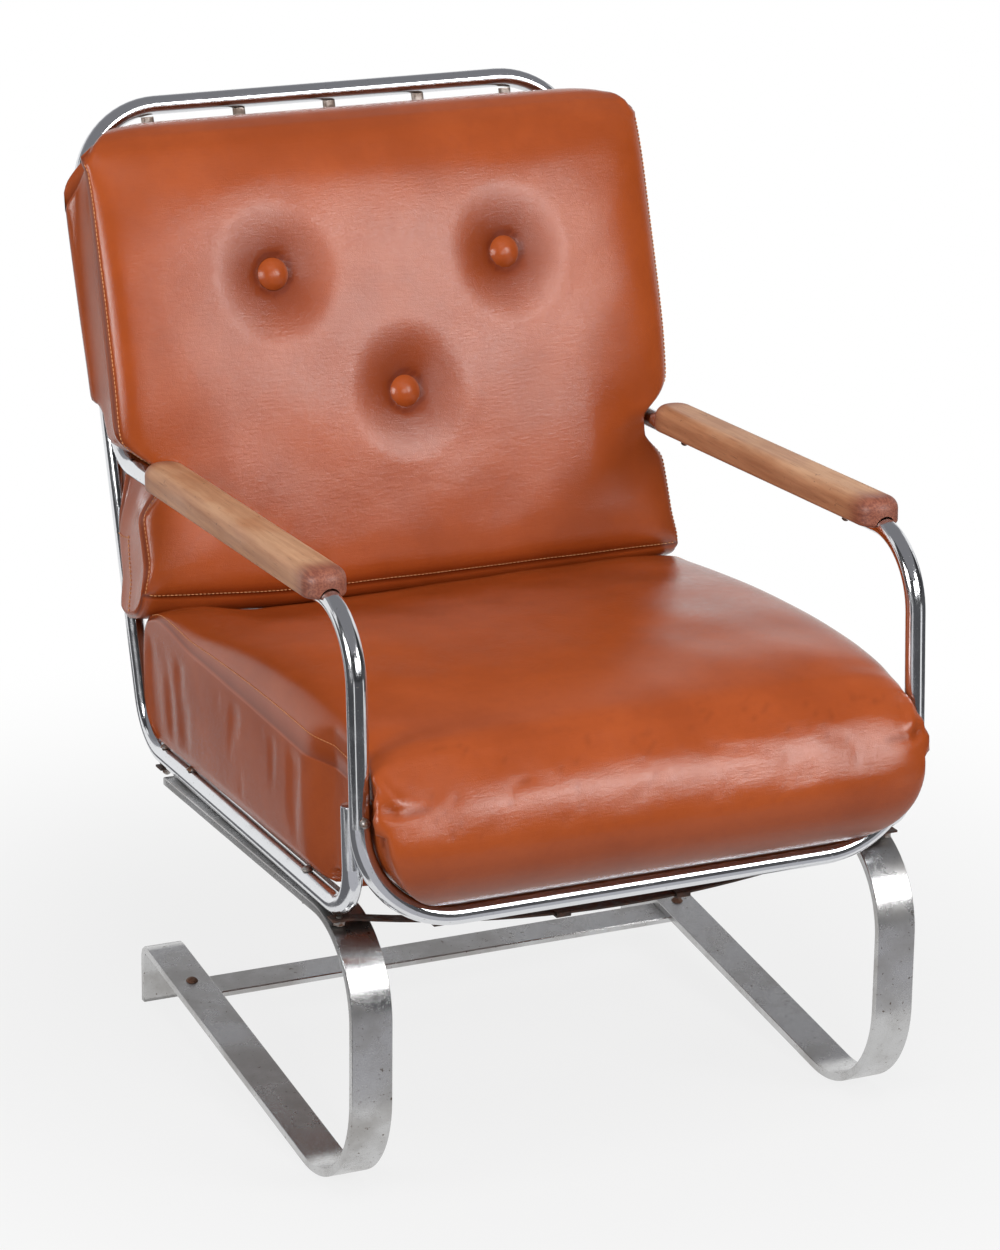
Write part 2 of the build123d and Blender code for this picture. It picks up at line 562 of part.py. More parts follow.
# Seat cushion: a crowned side profile with a rolled front, rounded down both sides
SEAT = Plane(at(0, 0, rail_z(0) + TUBE_R + SEAT_GAP), x_dir=(1, 0, 0), z_dir=RAIL_UP)
CORNER_X = FRONT_HALF - FRONT_CORNER
CORNER_Z = FRONT_RAIL_Z + FRONT_CORNER
CORNER_R = FRONT_CORNER - TUBE_R - 1
with BuildPart() as seat_cushion:
    with BuildSketch(Plane(SEAT.origin, x_dir=SEAT.y_dir, z_dir=(1, 0, 0))):
        with BuildLine():
            FilletPolyline((SEAT_FRONT, 0), (SEAT_FRONT, SEAT_FRONT_H), (SEAT_CROWN_Y, SEAT_CROWN_H),
                           (SEAT_REST_Y, SEAT_REST_H), (SEAT_BACK, SEAT_BACK_H), (SEAT_BACK, 0), close=True,
                           radius=[SEAT_FRONT_R, SEAT_FRONT_R, 700, 60, SEAT_BACK_R, SEAT_BACK_R])
        make_face()
    extrude(amount=SEAT_HALF, both=True)
    fillet(seat_cushion.faces().filter_by(Axis.X).edges(), SEAT_SIDE_R)
    # behind the front legs the cushion swells out over the side rails
    with BuildPart(mode=Mode.PRIVATE) as wide_part:
        with BuildSketch(Plane(SEAT.origin, x_dir=SEAT.y_dir, z_dir=(1, 0, 0))):
            with BuildLine():
                FilletPolyline((SEAT_WIDE_Y, SEAT_LAP), (SEAT_WIDE_Y, SEAT_CROWN_H - 3 * SEAT_LAP),
                               (SEAT_CROWN_Y, SEAT_CROWN_H - SEAT_LAP), (SEAT_REST_Y, SEAT_REST_H - SEAT_LAP),
                               (SEAT_BACK - SEAT_LAP, SEAT_BACK_H - SEAT_LAP),
                               (SEAT_BACK - SEAT_LAP, SEAT_LAP),
                               close=True, radius=[20, 20, 700, 60, SEAT_BACK_R, SEAT_BACK_R])
            make_face()
        extrude(amount=SEAT_WIDE, both=True)
        fillet(wide_part.faces().filter_by(Axis.X).edges(), SEAT_WIDE_R)
    add(wide_part.part)
    # the lower front corners are rounded to lie inside the bends of the front rail
    with BuildSketch(Plane(at(0, SEAT_FRONT - 5, 0), x_dir=(1, 0, 0), z_dir=(0, -1, 0))):
        for side in SIDES:
            with Locations((side * (CORNER_X + FRONT_CORNER / 2), CORNER_Z - FRONT_CORNER / 2)):
                Rectangle(FRONT_CORNER, FRONT_CORNER)
        for side in SIDES:
            with Locations((side * CORNER_X, CORNER_Z)):
                Circle(CORNER_R, mode=Mode.SUBTRACT)
    extrude(amount=-(TUBE_OD + SEAT_PULL - SEAT_FRONT + 5), mode=Mode.SUBTRACT)
save(seat_cushion, "seat_cushion")

# Back cushion: relieved where the arm tubes pass, drawn down at the three buttons
ARM_LIFT = tan(RECLINE - ARM_FALL)
RELIEF = TUBE_R + 3
buttons = [(-BUTTON_X, UPPER_BUTTON_UP), (BUTTON_X, UPPER_BUTTON_UP), (0, LOWER_BUTTON_UP)]
BACK_SIDE = Plane(BACK.origin, x_dir=BACK.y_dir, z_dir=(1, 0, 0))


def beside_back(up, out):
    """A point of the back's side view."""
    local = BACK_SIDE.to_local_coords(on_back(0, up, out))
    return (local.X, local.Y)


with BuildPart() as back_cushion:
    with BuildSketch(BACK_SIDE):
        with BuildLine():
            FilletPolyline(beside_back(BACK_BOTTOM, BACK_FACE), beside_back(BACK_TOP, BACK_FACE),
                           beside_back(BACK_TOP, BACK_TOP_OUT), beside_back(BACK_CROWN_UP, BACK_CROWN_OUT),
                           beside_back(BACK_BOTTOM, BACK_BOTTOM_OUT), close=True,
                           radius=[BACK_EDGE_R, BACK_EDGE_R, BACK_EDGE_R, 900, BACK_EDGE_R])
        make_face()
    extrude(amount=BACK_HALF, both=True)
    fillet(back_cushion.faces().filter_by(Axis.X).edges(), BACK_SIDE_R)
    far = BACK_CROWN_OUT + 20
    near = TUBE_STEP + RELIEF + 4
    bend_room = 0.7 * RISER_BEND
    for side in SIDES:
        with BuildSketch(BACK_SIDE.offset(side * WAIST_HALF)):
            with BuildLine():
                Polyline(beside_back(RISER_FOOT - RELIEF - TIP_ROOM + TUBE_STEP * ARM_LIFT, 0),
                         beside_back(RISER_FOOT - RELIEF - TIP_ROOM - (far - TUBE_STEP) * ARM_LIFT, far),
                         beside_back(RISER_FOOT + RELIEF - (far - TUBE_STEP) * ARM_LIFT, far),
                         beside_back(RISER_FOOT + RELIEF - (near + bend_room - TUBE_STEP) * ARM_LIFT,
                                     near + bend_room),
                         beside_back(RISER_FOOT + RELIEF + bend_room, near),
                         beside_back(riser_top + RELIEF, near),
                         beside_back(riser_top + RELIEF, 0), close=True)
            make_face()
        extrude(amount=side * FRONT_CORNER, mode=Mode.SUBTRACT)
    floor = BUTTON_SEAT
    rim = BACK_CROWN_OUT + 2
    base_r = BUTTON_D / 2 + 1
    flare = DIMPLE_R - base_r
    for x, up in buttons:
        side_view = Plane(on_back(x, up, 0), x_dir=BACK.x_dir, z_dir=-BACK.y_dir)
        with BuildSketch(side_view):
            with BuildLine():
                Line((0, floor), (base_r, floor))
                wall = (base_r + 0.42 * flare, floor + 0.55 * (rim - floor))
                ThreePointArc((base_r, floor), wall, (DIMPLE_R, rim))
                Line((DIMPLE_R, rim), (0, rim))
                Line((0, rim), (0, floor))
            make_face()
        revolve(axis=Axis(side_view.origin, BACK.z_dir), mode=Mode.SUBTRACT)
        drill(facing(on_back(x, up, floor), BACK.z_dir), STEM_D + 2 * FIT, STEM_LENGTH + FIT)
save(back_cushion, "back_cushion")

# Covered buttons with short stems in the cushion
for i, (x, up) in enumerate(buttons):
    with BuildPart() as button:
        button_place = facing(on_back(x, up, BUTTON_SEAT + FIT), BACK.z_dir)
        dome_bolt(button_place, STEM_D, STEM_LENGTH, BUTTON_D, BUTTON_H)
    save(button, f"back_button_{i + 1}")
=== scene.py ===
# %% [markdown]
# # A cantilever lounge chair
# The chair is two bent chrome tubes on two flat spring-steel legs, with wooden arm pads and
# loose leather cushions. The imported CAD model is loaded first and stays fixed: it says where
# every piece is, so this lesson only has to give each piece its finish and its soft form.

# %% Load the frame
import math

import bpy
import numpy as np
from mathutils import Matrix, Vector


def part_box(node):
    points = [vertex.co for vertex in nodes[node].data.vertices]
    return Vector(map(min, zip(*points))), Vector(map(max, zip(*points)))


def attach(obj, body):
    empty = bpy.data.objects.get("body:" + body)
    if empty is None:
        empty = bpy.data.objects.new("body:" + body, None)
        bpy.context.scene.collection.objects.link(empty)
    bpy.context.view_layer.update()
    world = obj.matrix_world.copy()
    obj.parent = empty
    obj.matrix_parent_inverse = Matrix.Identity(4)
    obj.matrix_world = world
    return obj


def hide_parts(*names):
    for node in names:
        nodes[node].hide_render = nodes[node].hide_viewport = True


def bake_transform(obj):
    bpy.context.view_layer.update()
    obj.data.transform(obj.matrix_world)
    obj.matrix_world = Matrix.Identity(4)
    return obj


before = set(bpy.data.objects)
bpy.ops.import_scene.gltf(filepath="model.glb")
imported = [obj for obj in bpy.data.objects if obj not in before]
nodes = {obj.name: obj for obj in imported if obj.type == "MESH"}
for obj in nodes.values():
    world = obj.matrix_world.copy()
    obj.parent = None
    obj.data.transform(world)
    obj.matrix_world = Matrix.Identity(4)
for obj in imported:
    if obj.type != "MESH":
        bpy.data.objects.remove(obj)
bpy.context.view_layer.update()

# %% [markdown]
# ## Camera
# The view was solved from the straight tubes: a long lens, a little to the left of the chair and
# above it. Heights and angles are written as a photographer would say them.

# %% Camera
VIEW_AZIMUTH = math.radians(-25.19)
VIEW_TILT = math.radians(90 - 18.27)
VIEW_ROLL = math.radians(0.69)
VIEW_PLACE = Vector((-1.7544, -3.7661, 1.7889))
FRAME_HEIGHT_PX = 1250
FOCAL_PX = 4512
SENSOR = 36.0

lens = bpy.data.cameras.new("view")
lens.sensor_fit = "VERTICAL"
lens.sensor_height = SENSOR
lens.lens = FOCAL_PX * SENSOR / FRAME_HEIGHT_PX
camera = bpy.data.objects.new("view", lens)
turn = Matrix.Rotation(VIEW_AZIMUTH, 4, "Z") @ Matrix.Rotation(VIEW_TILT, 4, "X")
camera.matrix_world = Matrix.Translation(VIEW_PLACE) @ turn @ Matrix.Rotation(VIEW_ROLL, 4, "Z")
bpy.context.scene.collection.objects.link(camera)
bpy.context.scene.camera = camera
bpy.context.scene.view_settings.view_transform = "Standard"
print("lens", round(lens.lens, 1), "mm")

# %% [markdown]
# ## Small tools
# Finishes are built from nodes. These helpers add a node, feed its inputs with plain values or
# with other nodes' outputs, and do the sums that many finishes share. An output knows its own
# tree, so most helpers need no more than that. The last two make objects.

# %% Node and mesh tools
def feed(socket, value):
    """Link an input to another node's output, or set it to a plain value."""
    if hasattr(value, "is_output"):
        socket.id_data.links.new(value, socket)
    else:
        socket.default_value = value


def put(tree, kind, **values):
    """Add a node; each value feeds the input of that name, or else sets a property."""
    node = tree.nodes.new(kind)
    for name, value in values.items():
        if name in node.inputs:
            feed(node.inputs[name], value)
        else:
            setattr(node, name, value)
    return node


def through(source, *steps):
    """Pass an output through several nodes, by their first input and first output."""
    for node in steps:
        feed(node.inputs[0], source)
        source = node.outputs[0]
    return source


def reckon(operation, *values, kind="ShaderNodeMath"):
    """The result of a math node for another node's output and more outputs or numbers."""
    node = put(values[0].id_data, kind, operation=operation)
    for socket, value in zip(node.inputs, values):
        feed(socket, value)
    return node.outputs[0]


def span(value, low, high, to_low=0.0, to_high=1.0):
    """Map a value's range to another one, clamped and smooth."""
    ends = {"From Min": low, "From Max": high, "To Min": to_low, "To Max": to_high}
    node = put(value.id_data, "ShaderNodeMapRange", interpolation_type="SMOOTHSTEP", **ends)
    return through(value, node)


def add_socket(tree, way, kind, label):
    """Give a tree a named input or output of its own."""
    return tree.interface.new_socket(label, in_out=way, socket_type="NodeSocket" + kind)


def object_place(tree):
    """Where a point is on its own object."""
    return put(tree, "ShaderNodeTexCoord").outputs["Object"]


def new_material(name):
    """A material and its empty node tree."""
    made = bpy.data.materials.new(name)
    made.use_nodes = True
    made.node_tree.nodes.clear()
    return made, made.node_tree


def mesh_object(name, points, edges, faces):
    """A mesh object from plain lists, linked to the scene."""
    mesh = bpy.data.meshes.new(name)
    mesh.from_pydata(points, edges, faces)
    made = bpy.data.objects.new(name, mesh)
    bpy.context.scene.collection.objects.link(made)
    return made


def flat_mesh(name, corners):
    """A one-face mesh object."""
    return mesh_object(name, corners, [], [tuple(range(len(corners)))])


print("tools ready")

# %% [markdown]
# ## Studio
# The chair stands on white paper in a white room. The paper turns pure white away from the chair
# and keeps a faint shadow under it. Mirrors and lens see it white, while the light it throws back
# at the chair stays soft.

# %% Paper and room
FLOOR_REACH, FLOOR_Z = 14.0, -0.0006
PAPER_GREY, NEAR_WHITE = 0.32, 0.82
FADE_FROM, FADE_TO = 0.35, 1.25
ROOM_LIGHT = 0.20
WHITE = (1, 1, 1, 1)


def lying(ax, ay, bx, by, height):
    """Corners of a level panel."""
    return [(ax, ay, height), (bx, ay, height), (bx, by, height), (ax, by, height)]


def standing(ax, ay, bx, by, low, high):
    """Corners of a panel that stands on a line between two floor places."""
    return [(ax, ay, low), (bx, by, low), (bx, by, high), (ax, ay, high)]


def seen_directly(tree):
    """1 for rays from the camera, and for what shines or shows through; 0 for soft light."""
    path = put(tree, "ShaderNodeLightPath").outputs
    shining = reckon("MAXIMUM", path["Is Camera Ray"], path["Is Glossy Ray"])
    return reckon("MAXIMUM", shining, path["Is Transmission Ray"])


def giving_way(share, first, second):
    """A shader that gives way to a second one by a share."""
    node = put(share.id_data, "ShaderNodeMixShader")
    for socket, value in zip(node.inputs, (share, first.outputs[0], second.outputs[0])):
        feed(socket, value)
    return node.outputs[0]


floor = flat_mesh("floor", lying(-FLOOR_REACH, -FLOOR_REACH, FLOOR_REACH, FLOOR_REACH, FLOOR_Z))
paper, tree = new_material("white_paper")
shaded = put(tree, "ShaderNodeBsdfDiffuse", Color=(PAPER_GREY, PAPER_GREY, PAPER_GREY, 1))
clear = put(tree, "ShaderNodeEmission", Color=WHITE, Strength=1.0)
far = put(tree, "ShaderNodeVectorMath", operation="LENGTH", Vector=object_place(tree))
fade = span(far.outputs["Value"], FADE_FROM, FADE_TO, NEAR_WHITE, 1.0)
share = reckon("MULTIPLY", fade, seen_directly(tree))
put(tree, "ShaderNodeOutputMaterial", Surface=giving_way(share, shaded, clear))
floor.data.materials.append(paper)

world = bpy.data.worlds.new("studio")
bpy.context.scene.world = world
world.use_nodes = True
tree = world.node_tree
tree.nodes.clear()
room = put(tree, "ShaderNodeBackground", Color=(1.0, 0.99, 0.98, 1), Strength=ROOM_LIGHT)
white = put(tree, "ShaderNodeBackground", Color=WHITE, Strength=1.0)
put(tree, "ShaderNodeOutputWorld", Surface=giving_way(seen_directly(tree), room, white))
print("paper and room ready")

# %% [markdown]
# Two soft boxes stand beside the lens. The back panel mirrors the right-hand one, and the
# left-hand one lights the panel's rounded edge. The top and rear lamps are hidden from
# reflections, so they light the hide without a pale veil on it. Chrome only looks like chrome
# when it has something dark to mirror, so grey cloths hang all round. They show in reflections
# and never to the camera itself. Each cloth glows with its own set grey and throws no light, so
# it is a painted reflection; the two lying on the floor make the mirrored floor greyer than the
# white floor the camera sees.

# %% Lamps and grey cloths
COOL = 1.06
CHEST, SEAT, MIDDLE, LOW = (0, 0.2, 0.62), (0, 0.1, 0.5), (0, 0, 0.5), (0, 0, 0.4)
LAMPS = [  # name, place, aim, width, height, watts, shows in reflections
    ("right_box", (1.36, -2.66, 1.88), CHEST, 1.25, 1.15, 52, True),
    ("left_box", (-0.34, -2.98, 1.62), CHEST, 0.85, 0.75, 15, True),
    ("top_lamp", (-0.1, -1.35, 2.95), SEAT, 1.6, 1.6, 58, False),
    ("rear_fill", (0.6, 3.0, 1.7), MIDDLE, 1.6, 1.6, 22, False),
    ("side_fill", (-2.9, -0.9, 1.3), LOW, 1.2, 1.2, 56, True)]
CLOTHS = [  # name, corners, grey
    ("ceiling_cloth", lying(-6, -6, 6, 3.5, 4.4), 0.24),
    ("left_cloth", standing(-4.6, -5.6, -4.6, 1.6, 0.3, 4.4), 0.05),
    ("front_cloth", standing(-4.6, -5.6, 4.8, -5.6, 0.3, 4.4), 0.03),
    ("right_cloth", standing(4.8, -5.6, 4.8, 0.2, 0.3, 4.4), 0.04),
    ("rear_cloth", standing(-6, 3.5, 6, 3.5, 2.3, 4.4), 0.32),
    ("low_left_cloth", standing(-1.35, -1.15, -1.35, 0.75, 0.03, 0.75), 0.07),
    ("low_front_cloth", standing(-1.25, -1.40, 0.95, -1.40, 0.03, 0.52), 0.09),
    ("low_right_cloth", standing(1.35, -1.25, 1.35, 0.35, 0.03, 0.62), 0.09),
    ("floor_cloth_front", lying(-1.3, -1.4, 1.2, -0.55, 0.004), 0.52),
    ("floor_cloth_left", lying(-1.35, -0.55, -0.50, 1.3, 0.004), 0.16)]

for name, place, aim, wide, tall, watts, mirrored in LAMPS:
    data = bpy.data.lights.new(name, "AREA")
    data.shape = "RECTANGLE"
    data.size, data.size_y, data.energy = wide, tall, watts
    lamp = bpy.data.objects.new(name, data)
    lamp.location = place
    lamp.rotation_euler = (Vector(aim) - Vector(place)).to_track_quat("-Z", "Y").to_euler()
    lamp.visible_glossy = mirrored
    bpy.context.scene.collection.objects.link(lamp)
for name, corners, shade in CLOTHS:
    cloth = flat_mesh(name, corners)
    matt, tree = new_material(name)
    # Painted reflection: the cloth's glow sets the grey that mirrors show.
    grey = put(tree, "ShaderNodeEmission", Color=(shade, shade, shade * COOL, 1), Strength=1.0)
    put(tree, "ShaderNodeOutputMaterial", Surface=grey.outputs[0])
    cloth.data.materials.append(matt)
    cloth.visible_camera = cloth.visible_shadow = cloth.visible_diffuse = False
print("studio ready", len(LAMPS), "lamps", len(CLOTHS), "cloths")

# %% [markdown]
# ## Shared surface effects
# Age shows the same way on many pieces: specks, blotches and fine grain. Each effect is a node
# group with its own sizes, made once and placed in every finish that needs it.

# %% Surface effect groups
SPECK_EDGE = 0.06
GRAIN_SHIFT, CREASE_WIDTH, PEBBLE_WIDTH, FINE_SHARE = 0.004, 0.05, 0.25, 0.25


def new_group(name, inputs, output):
    """A shader node group with named number inputs and one output."""
    group = bpy.data.node_groups.new(name, "ShaderNodeTree")
    for label, value in inputs:
        add_socket(group, "INPUT", "Float", label).default_value = value
    add_socket(group, "OUTPUT", "Float", output)
    return group, put(group, "NodeGroupInput").outputs, put(group, "NodeGroupOutput").inputs[0]


def stretched_noise(name, output, axis, scale, stretch, **noise):
    """A group with noise that is drawn out along one axis."""
    group, given, result = new_group(name, [("Scale", scale), ("Stretch", stretch)], output)
    factors = put(group, "ShaderNodeCombineXYZ", X=1.0, Y=1.0, Z=1.0)
    feed(factors.inputs[axis], given["Stretch"])
    spread = reckon("MULTIPLY", object_place(group), factors.outputs[0],
                    kind="ShaderNodeVectorMath")
    cloud = put(group, "ShaderNodeTexNoise", Vector=spread, Scale=given["Scale"], **noise)
    feed(result, cloud.outputs[0])
    return group


specks, given, result = new_group("specks", [("Scale", 300.0), ("Threshold", 0.62)], "Mask")
cloud = put(specks, "ShaderNodeTexNoise", Vector=object_place(specks), Scale=given["Scale"],
            Detail=4.0, Roughness=0.62)
upper = reckon("ADD", given["Threshold"], SPECK_EDGE)
feed(result, span(cloud.outputs[0], given["Threshold"], upper))

blotch = stretched_noise("blotches", "Mask", "Y", 20.0, 1.0, Detail=5.0, Roughness=0.6)

grain, given, result = new_group("hide_grain", [("Scale", 900.0), ("Crease", 1.0)], "Height")
place = object_place(grain)
sway = put(grain, "ShaderNodeTexNoise", Vector=place, Scale=60.0, Detail=2.0).outputs["Color"]
shift = put(grain, "ShaderNodeVectorMath", operation="SCALE", Vector=sway, Scale=GRAIN_SHIFT)
moved = reckon("ADD", place, shift.outputs[0], kind="ShaderNodeVectorMath")
cells = {"feature": "DISTANCE_TO_EDGE", "Vector": moved, "Randomness": 1.0}
pebble = put(grain, "ShaderNodeTexVoronoi", Scale=given["Scale"], **cells)
web = put(grain, "ShaderNodeTexVoronoi", Scale=70.0, **cells)
fine = put(grain, "ShaderNodeTexNoise", Vector=place, Scale=1400.0, Detail=2.0)
thin = span(web.outputs[0], 0.0, CREASE_WIDTH)
soft = span(pebble.outputs[0], 0.0, PEBBLE_WIDTH)
creased = reckon("ADD", soft, reckon("MULTIPLY", thin, given["Crease"]))
faint = reckon("MULTIPLY", fine.outputs[0], FINE_SHARE)
feed(result, reckon("ADD", creased, faint))

wear = stretched_noise("fine_creases", "Height", "X", 420.0, 0.2, Detail=3.0, Roughness=0.55,
                       Distortion=0.35)
print("effects", [group.name for group in bpy.data.node_groups])

# %% [markdown]
# A finish is put together from a few moves: place an effect, run one colour into another by a
# mask, turn a height into bump, and hand all of it to one shader.

# %% Finish tools
MIX_SHARE, MIX_LOW, MIX_HIGH, MIX_RESULT = 0, 6, 7, 2


def effect(tree, group, **values):
    """Place a shared effect with its own values."""
    return put(tree, "ShaderNodeGroup", node_tree=group, **values).outputs[0]


def tint(mask, low, high):
    """A colour that runs from low to high with a mask."""
    mix = put(mask.id_data, "ShaderNodeMix", data_type="RGBA")
    feed(mix.inputs[MIX_SHARE], mask)
    for index, color in ((MIX_LOW, low), (MIX_HIGH, high)):
        feed(mix.inputs[index], color if hasattr(color, "is_output") else (*color, 1))
    return mix.outputs[MIX_RESULT]


def bumped(height, strength, distance):
    """A bump node's normal."""
    return put(height.id_data, "ShaderNodeBump", Strength=strength, Distance=distance,
               Height=height).outputs[0]


def finish_with(color, roughness, **plain):
    """The material's own Principled shader."""
    tree = color.id_data
    plain = {"Base Color": color, "Roughness": roughness, **plain}
    shader = put(tree, "ShaderNodeBsdfPrincipled", **plain)
    put(tree, "ShaderNodeOutputMaterial", Surface=shader.outputs[0])


def dress(material, *names):
    """Give CAD nodes a finish."""
    for name in names:
        slots = nodes[name].data.materials
        slots.clear()
        slots.append(material)


print("finish tools ready")

# %% [markdown]
# ## Metals
# Old chrome plate is bright, with tiny pits that show as dark specks. The flat springs were
# plated too, but their finish has gone satin and blotchy. Bolts are dull and a little rusty and
# the straps under the seat are nearly black.

# %% Metal finishes
PLATE, PLATE_PIT = (0.72, 0.73, 0.75), (0.16, 0.12, 0.09)
SATIN, SATIN_STAIN = (0.56, 0.56, 0.56), (0.40, 0.39, 0.38)
SATIN_DUST, SATIN_PIT = (0.30, 0.28, 0.26), (0.13, 0.10, 0.08)
DULL_METALS = [  # name, clean tone, rust, roughness range, share of metal
    ("worn_bolts", (0.40, 0.38, 0.36), (0.20, 0.10, 0.06), (0.3, 0.6), 0.9),
    ("rusty_bolts", (0.16, 0.10, 0.07), (0.11, 0.05, 0.03), (0.5, 0.8), 0.5),
    ("browned_strap", (0.055, 0.035, 0.028), (0.10, 0.05, 0.035), (0.45, 0.7), 0.5),
    ("aged_slats", (0.34, 0.29, 0.26), (0.22, 0.17, 0.14), (0.4, 0.6), 1.0)]


def chrome_plate():
    """Bright plate with pits."""
    made, tree = new_material("pitted_chrome")
    pits = effect(tree, specks, Scale=520.0, Threshold=0.66)
    haze = effect(tree, blotch, Scale=38.0)
    rough = span(haze, 0.35, 0.75, 0.09, 0.20)
    normal = bumped(pits, strength=0.25, distance=0.0003)
    finish_with(tint(pits, PLATE, PLATE_PIT), rough, Normal=normal, Metallic=1.0)
    return made


def satin_spring():
    """Worn plate on flat spring steel: grey, blotched and speckled."""
    made, tree = new_material("satin_spring_steel")
    stain = effect(tree, blotch, Scale=16.0)
    pits = effect(tree, specks, Scale=240.0, Threshold=0.64)
    dust = effect(tree, specks, Scale=900.0, Threshold=0.56)
    color = tint(span(stain, 0.36, 0.68), SATIN, SATIN_STAIN)
    color = tint(span(dust, 0.0, 1.0, 0.0, 0.25), color, SATIN_DUST)
    color = tint(pits, color, SATIN_PIT)
    rough = span(stain, 0.3, 0.7, 0.20, 0.34)
    normal = bumped(dust, strength=0.2, distance=0.0004)
    finish_with(color, rough, Normal=normal, Metallic=1.0)
    return made


def dull_metal(name, clean, rust, rough, metallic):
    """Fasteners and straps: two tones that follow blotches; rough is a range."""
    made, tree = new_material(name)
    mask = effect(tree, blotch, Scale=140.0)
    grit = effect(tree, specks, Scale=700.0, Threshold=0.5)
    color = tint(span(mask, 0.42, 0.6), clean, rust)
    normal = bumped(grit, strength=0.35, distance=0.0003)
    finish_with(color, span(mask, 0.3, 0.7, *rough), Normal=normal, Metallic=metallic)
    return made


chrome = chrome_plate()
spring_steel = satin_spring()
bolt_metal, rusty_metal, strap_metal, slat_metal = [dull_metal(*row) for row in DULL_METALS]

dress(chrome, "arm_frame_tube", "back_frame_tube", "lower_back_rail", "upturn_plugs",
      "riser_plugs")
dress(slat_metal, *[f"back_slat_{i}" for i in range(1, 6)])
dress(spring_steel, "stretcher_bar")
dress(rusty_metal, "stretcher_bolts", "stretcher_nuts", "armrest_screws")
dress(bolt_metal, "leg_bolts", "leg_nuts", "rear_strap_bolts", "rear_strap_nuts",
      "front_strap_studs", "front_strap_nuts", "front_joint_bolts", "front_joint_nuts",
      "riser_joint_bolts", "riser_joint_nuts")
dress(strap_metal, "front_seat_strap", "rear_seat_strap",
      *[f"seat_band_{i}" for i in range(1, 5)])
print("metals dressed")

# %% [markdown]
# ## Wood
# The arm pads are a plain hardwood, rubbed pale on top by hands and left darker and redder at
# the ends, where the old varnish survives. Grain runs along the pad, so the noise is stretched
# along y, and fine dark pores are drawn out the same way.

# %% Wood finish
BODY_DARK, BODY_LIGHT = (0.29, 0.125, 0.06), (0.42, 0.205, 0.105)
RUBBED_DARK, RUBBED_LIGHT = (0.36, 0.185, 0.10), (0.50, 0.29, 0.17)
VARNISH_DARK, VARNISH_LIGHT = (0.155, 0.045, 0.028), (0.25, 0.085, 0.05)
PORE, NICK = (0.11, 0.05, 0.03), (0.07, 0.035, 0.02)
FRONT_END, REAR_END = (-0.272, -0.235), (0.125, 0.155)


def worn_wood():
    """Rubbed hardwood with long grain, pores and dark ends."""
    made, tree = new_material("worn_wood")
    normal = put(tree, "ShaderNodeNewGeometry").outputs["Normal"]
    facing = put(tree, "ShaderNodeSeparateXYZ", Vector=normal).outputs["Z"]
    along = put(tree, "ShaderNodeSeparateXYZ", Vector=object_place(tree)).outputs["Y"]
    streaks = effect(tree, blotch, Scale=170.0, Stretch=0.06)
    pores = effect(tree, blotch, Scale=620.0, Stretch=0.045)
    patch = effect(tree, blotch, Scale=14.0, Stretch=0.6)
    nicks = effect(tree, specks, Scale=150.0, Threshold=0.66)
    body = tint(span(streaks, 0.25, 0.75), BODY_DARK, BODY_LIGHT)
    pale = tint(span(streaks, 0.25, 0.75), RUBBED_DARK, RUBBED_LIGHT)
    rubbed = reckon("MULTIPLY", span(facing, 0.25, 0.95), span(patch, 0.34, 0.60))
    ends = reckon("MAXIMUM", span(along, *FRONT_END, 1.0, 0.0), span(along, *REAR_END))
    dark = tint(span(pores, 0.4, 0.6), VARNISH_DARK, VARNISH_LIGHT)
    color = tint(rubbed, body, pale)
    color = tint(ends, color, dark)
    color = tint(span(pores, 0.60, 0.72, 0.0, 0.55), color, PORE)
    color = tint(span(nicks, 0.0, 1.0, 0.0, 0.7), color, NICK)
    finish_with(color, span(patch, 0.3, 0.7, 0.42, 0.60),
                Normal=bumped(pores, strength=0.25, distance=0.0006))
    return made


wood = worn_wood()
dress(wood, "left_armrest", "right_armrest")
print("wood dressed")

# %% [markdown]
# ## Leather
# The covers are a smooth saddle-brown hide with a semi-gloss top coat. Shade is painted into
# its colour in the button dimples, seam valleys and creases; the cushions carry a
# "painted_shade" value per point that darkens the hide there.
# Grain is a bump of fine cells with a web of thin creases over it.

# %% Leather finish
HIDE_DARK, HIDE_LIGHT = (0.248, 0.045, 0.0080), (0.305, 0.059, 0.0120)
# HIDE_PAINTED_SHADE is painted shade: the dark colour the hide takes in dimples, seams and
# creases.
HIDE_MOTTLE, HIDE_PAINTED_SHADE = (0.25, 0.046, 0.011), (0.125, 0.019, 0.004)
WEAR_SHARE, COAT_GLOSS = 4.0, 0.42


def saddle_leather(name, shade_attribute):
    """Semi-gloss hide; shade_attribute is the point attribute of painted shade that darkens it.
    """
    made, tree = new_material(name)
    hide = effect(tree, grain, Scale=760.0, Crease=0.5)
    tone = effect(tree, blotch, Scale=9.0)
    mottle = effect(tree, blotch, Scale=120.0)
    color = tint(span(tone, 0.3, 0.7), HIDE_DARK, HIDE_LIGHT)
    color = tint(span(mottle, 0.45, 0.75, 0.0, 0.35), color, HIDE_MOTTLE)
    if shade_attribute:
        # Painted shade: the attribute darkens the hide where dimples, seams and creases would lie
        # in shade.
        painted_shade = put(tree, "ShaderNodeAttribute", attribute_name=shade_attribute).outputs["Fac"]
        color = tint(painted_shade, color, HIDE_PAINTED_SHADE)
    creases = effect(tree, wear, Scale=430.0, Stretch=0.2)
    height = reckon("MULTIPLY_ADD", creases, WEAR_SHARE, hide)
    normal = bumped(height, strength=0.11, distance=0.0006)
    finish_with(color, span(mottle, 0.3, 0.7, 0.20, 0.25), Normal=normal,
                **{"Specular IOR Level": COAT_GLOSS})
    return made


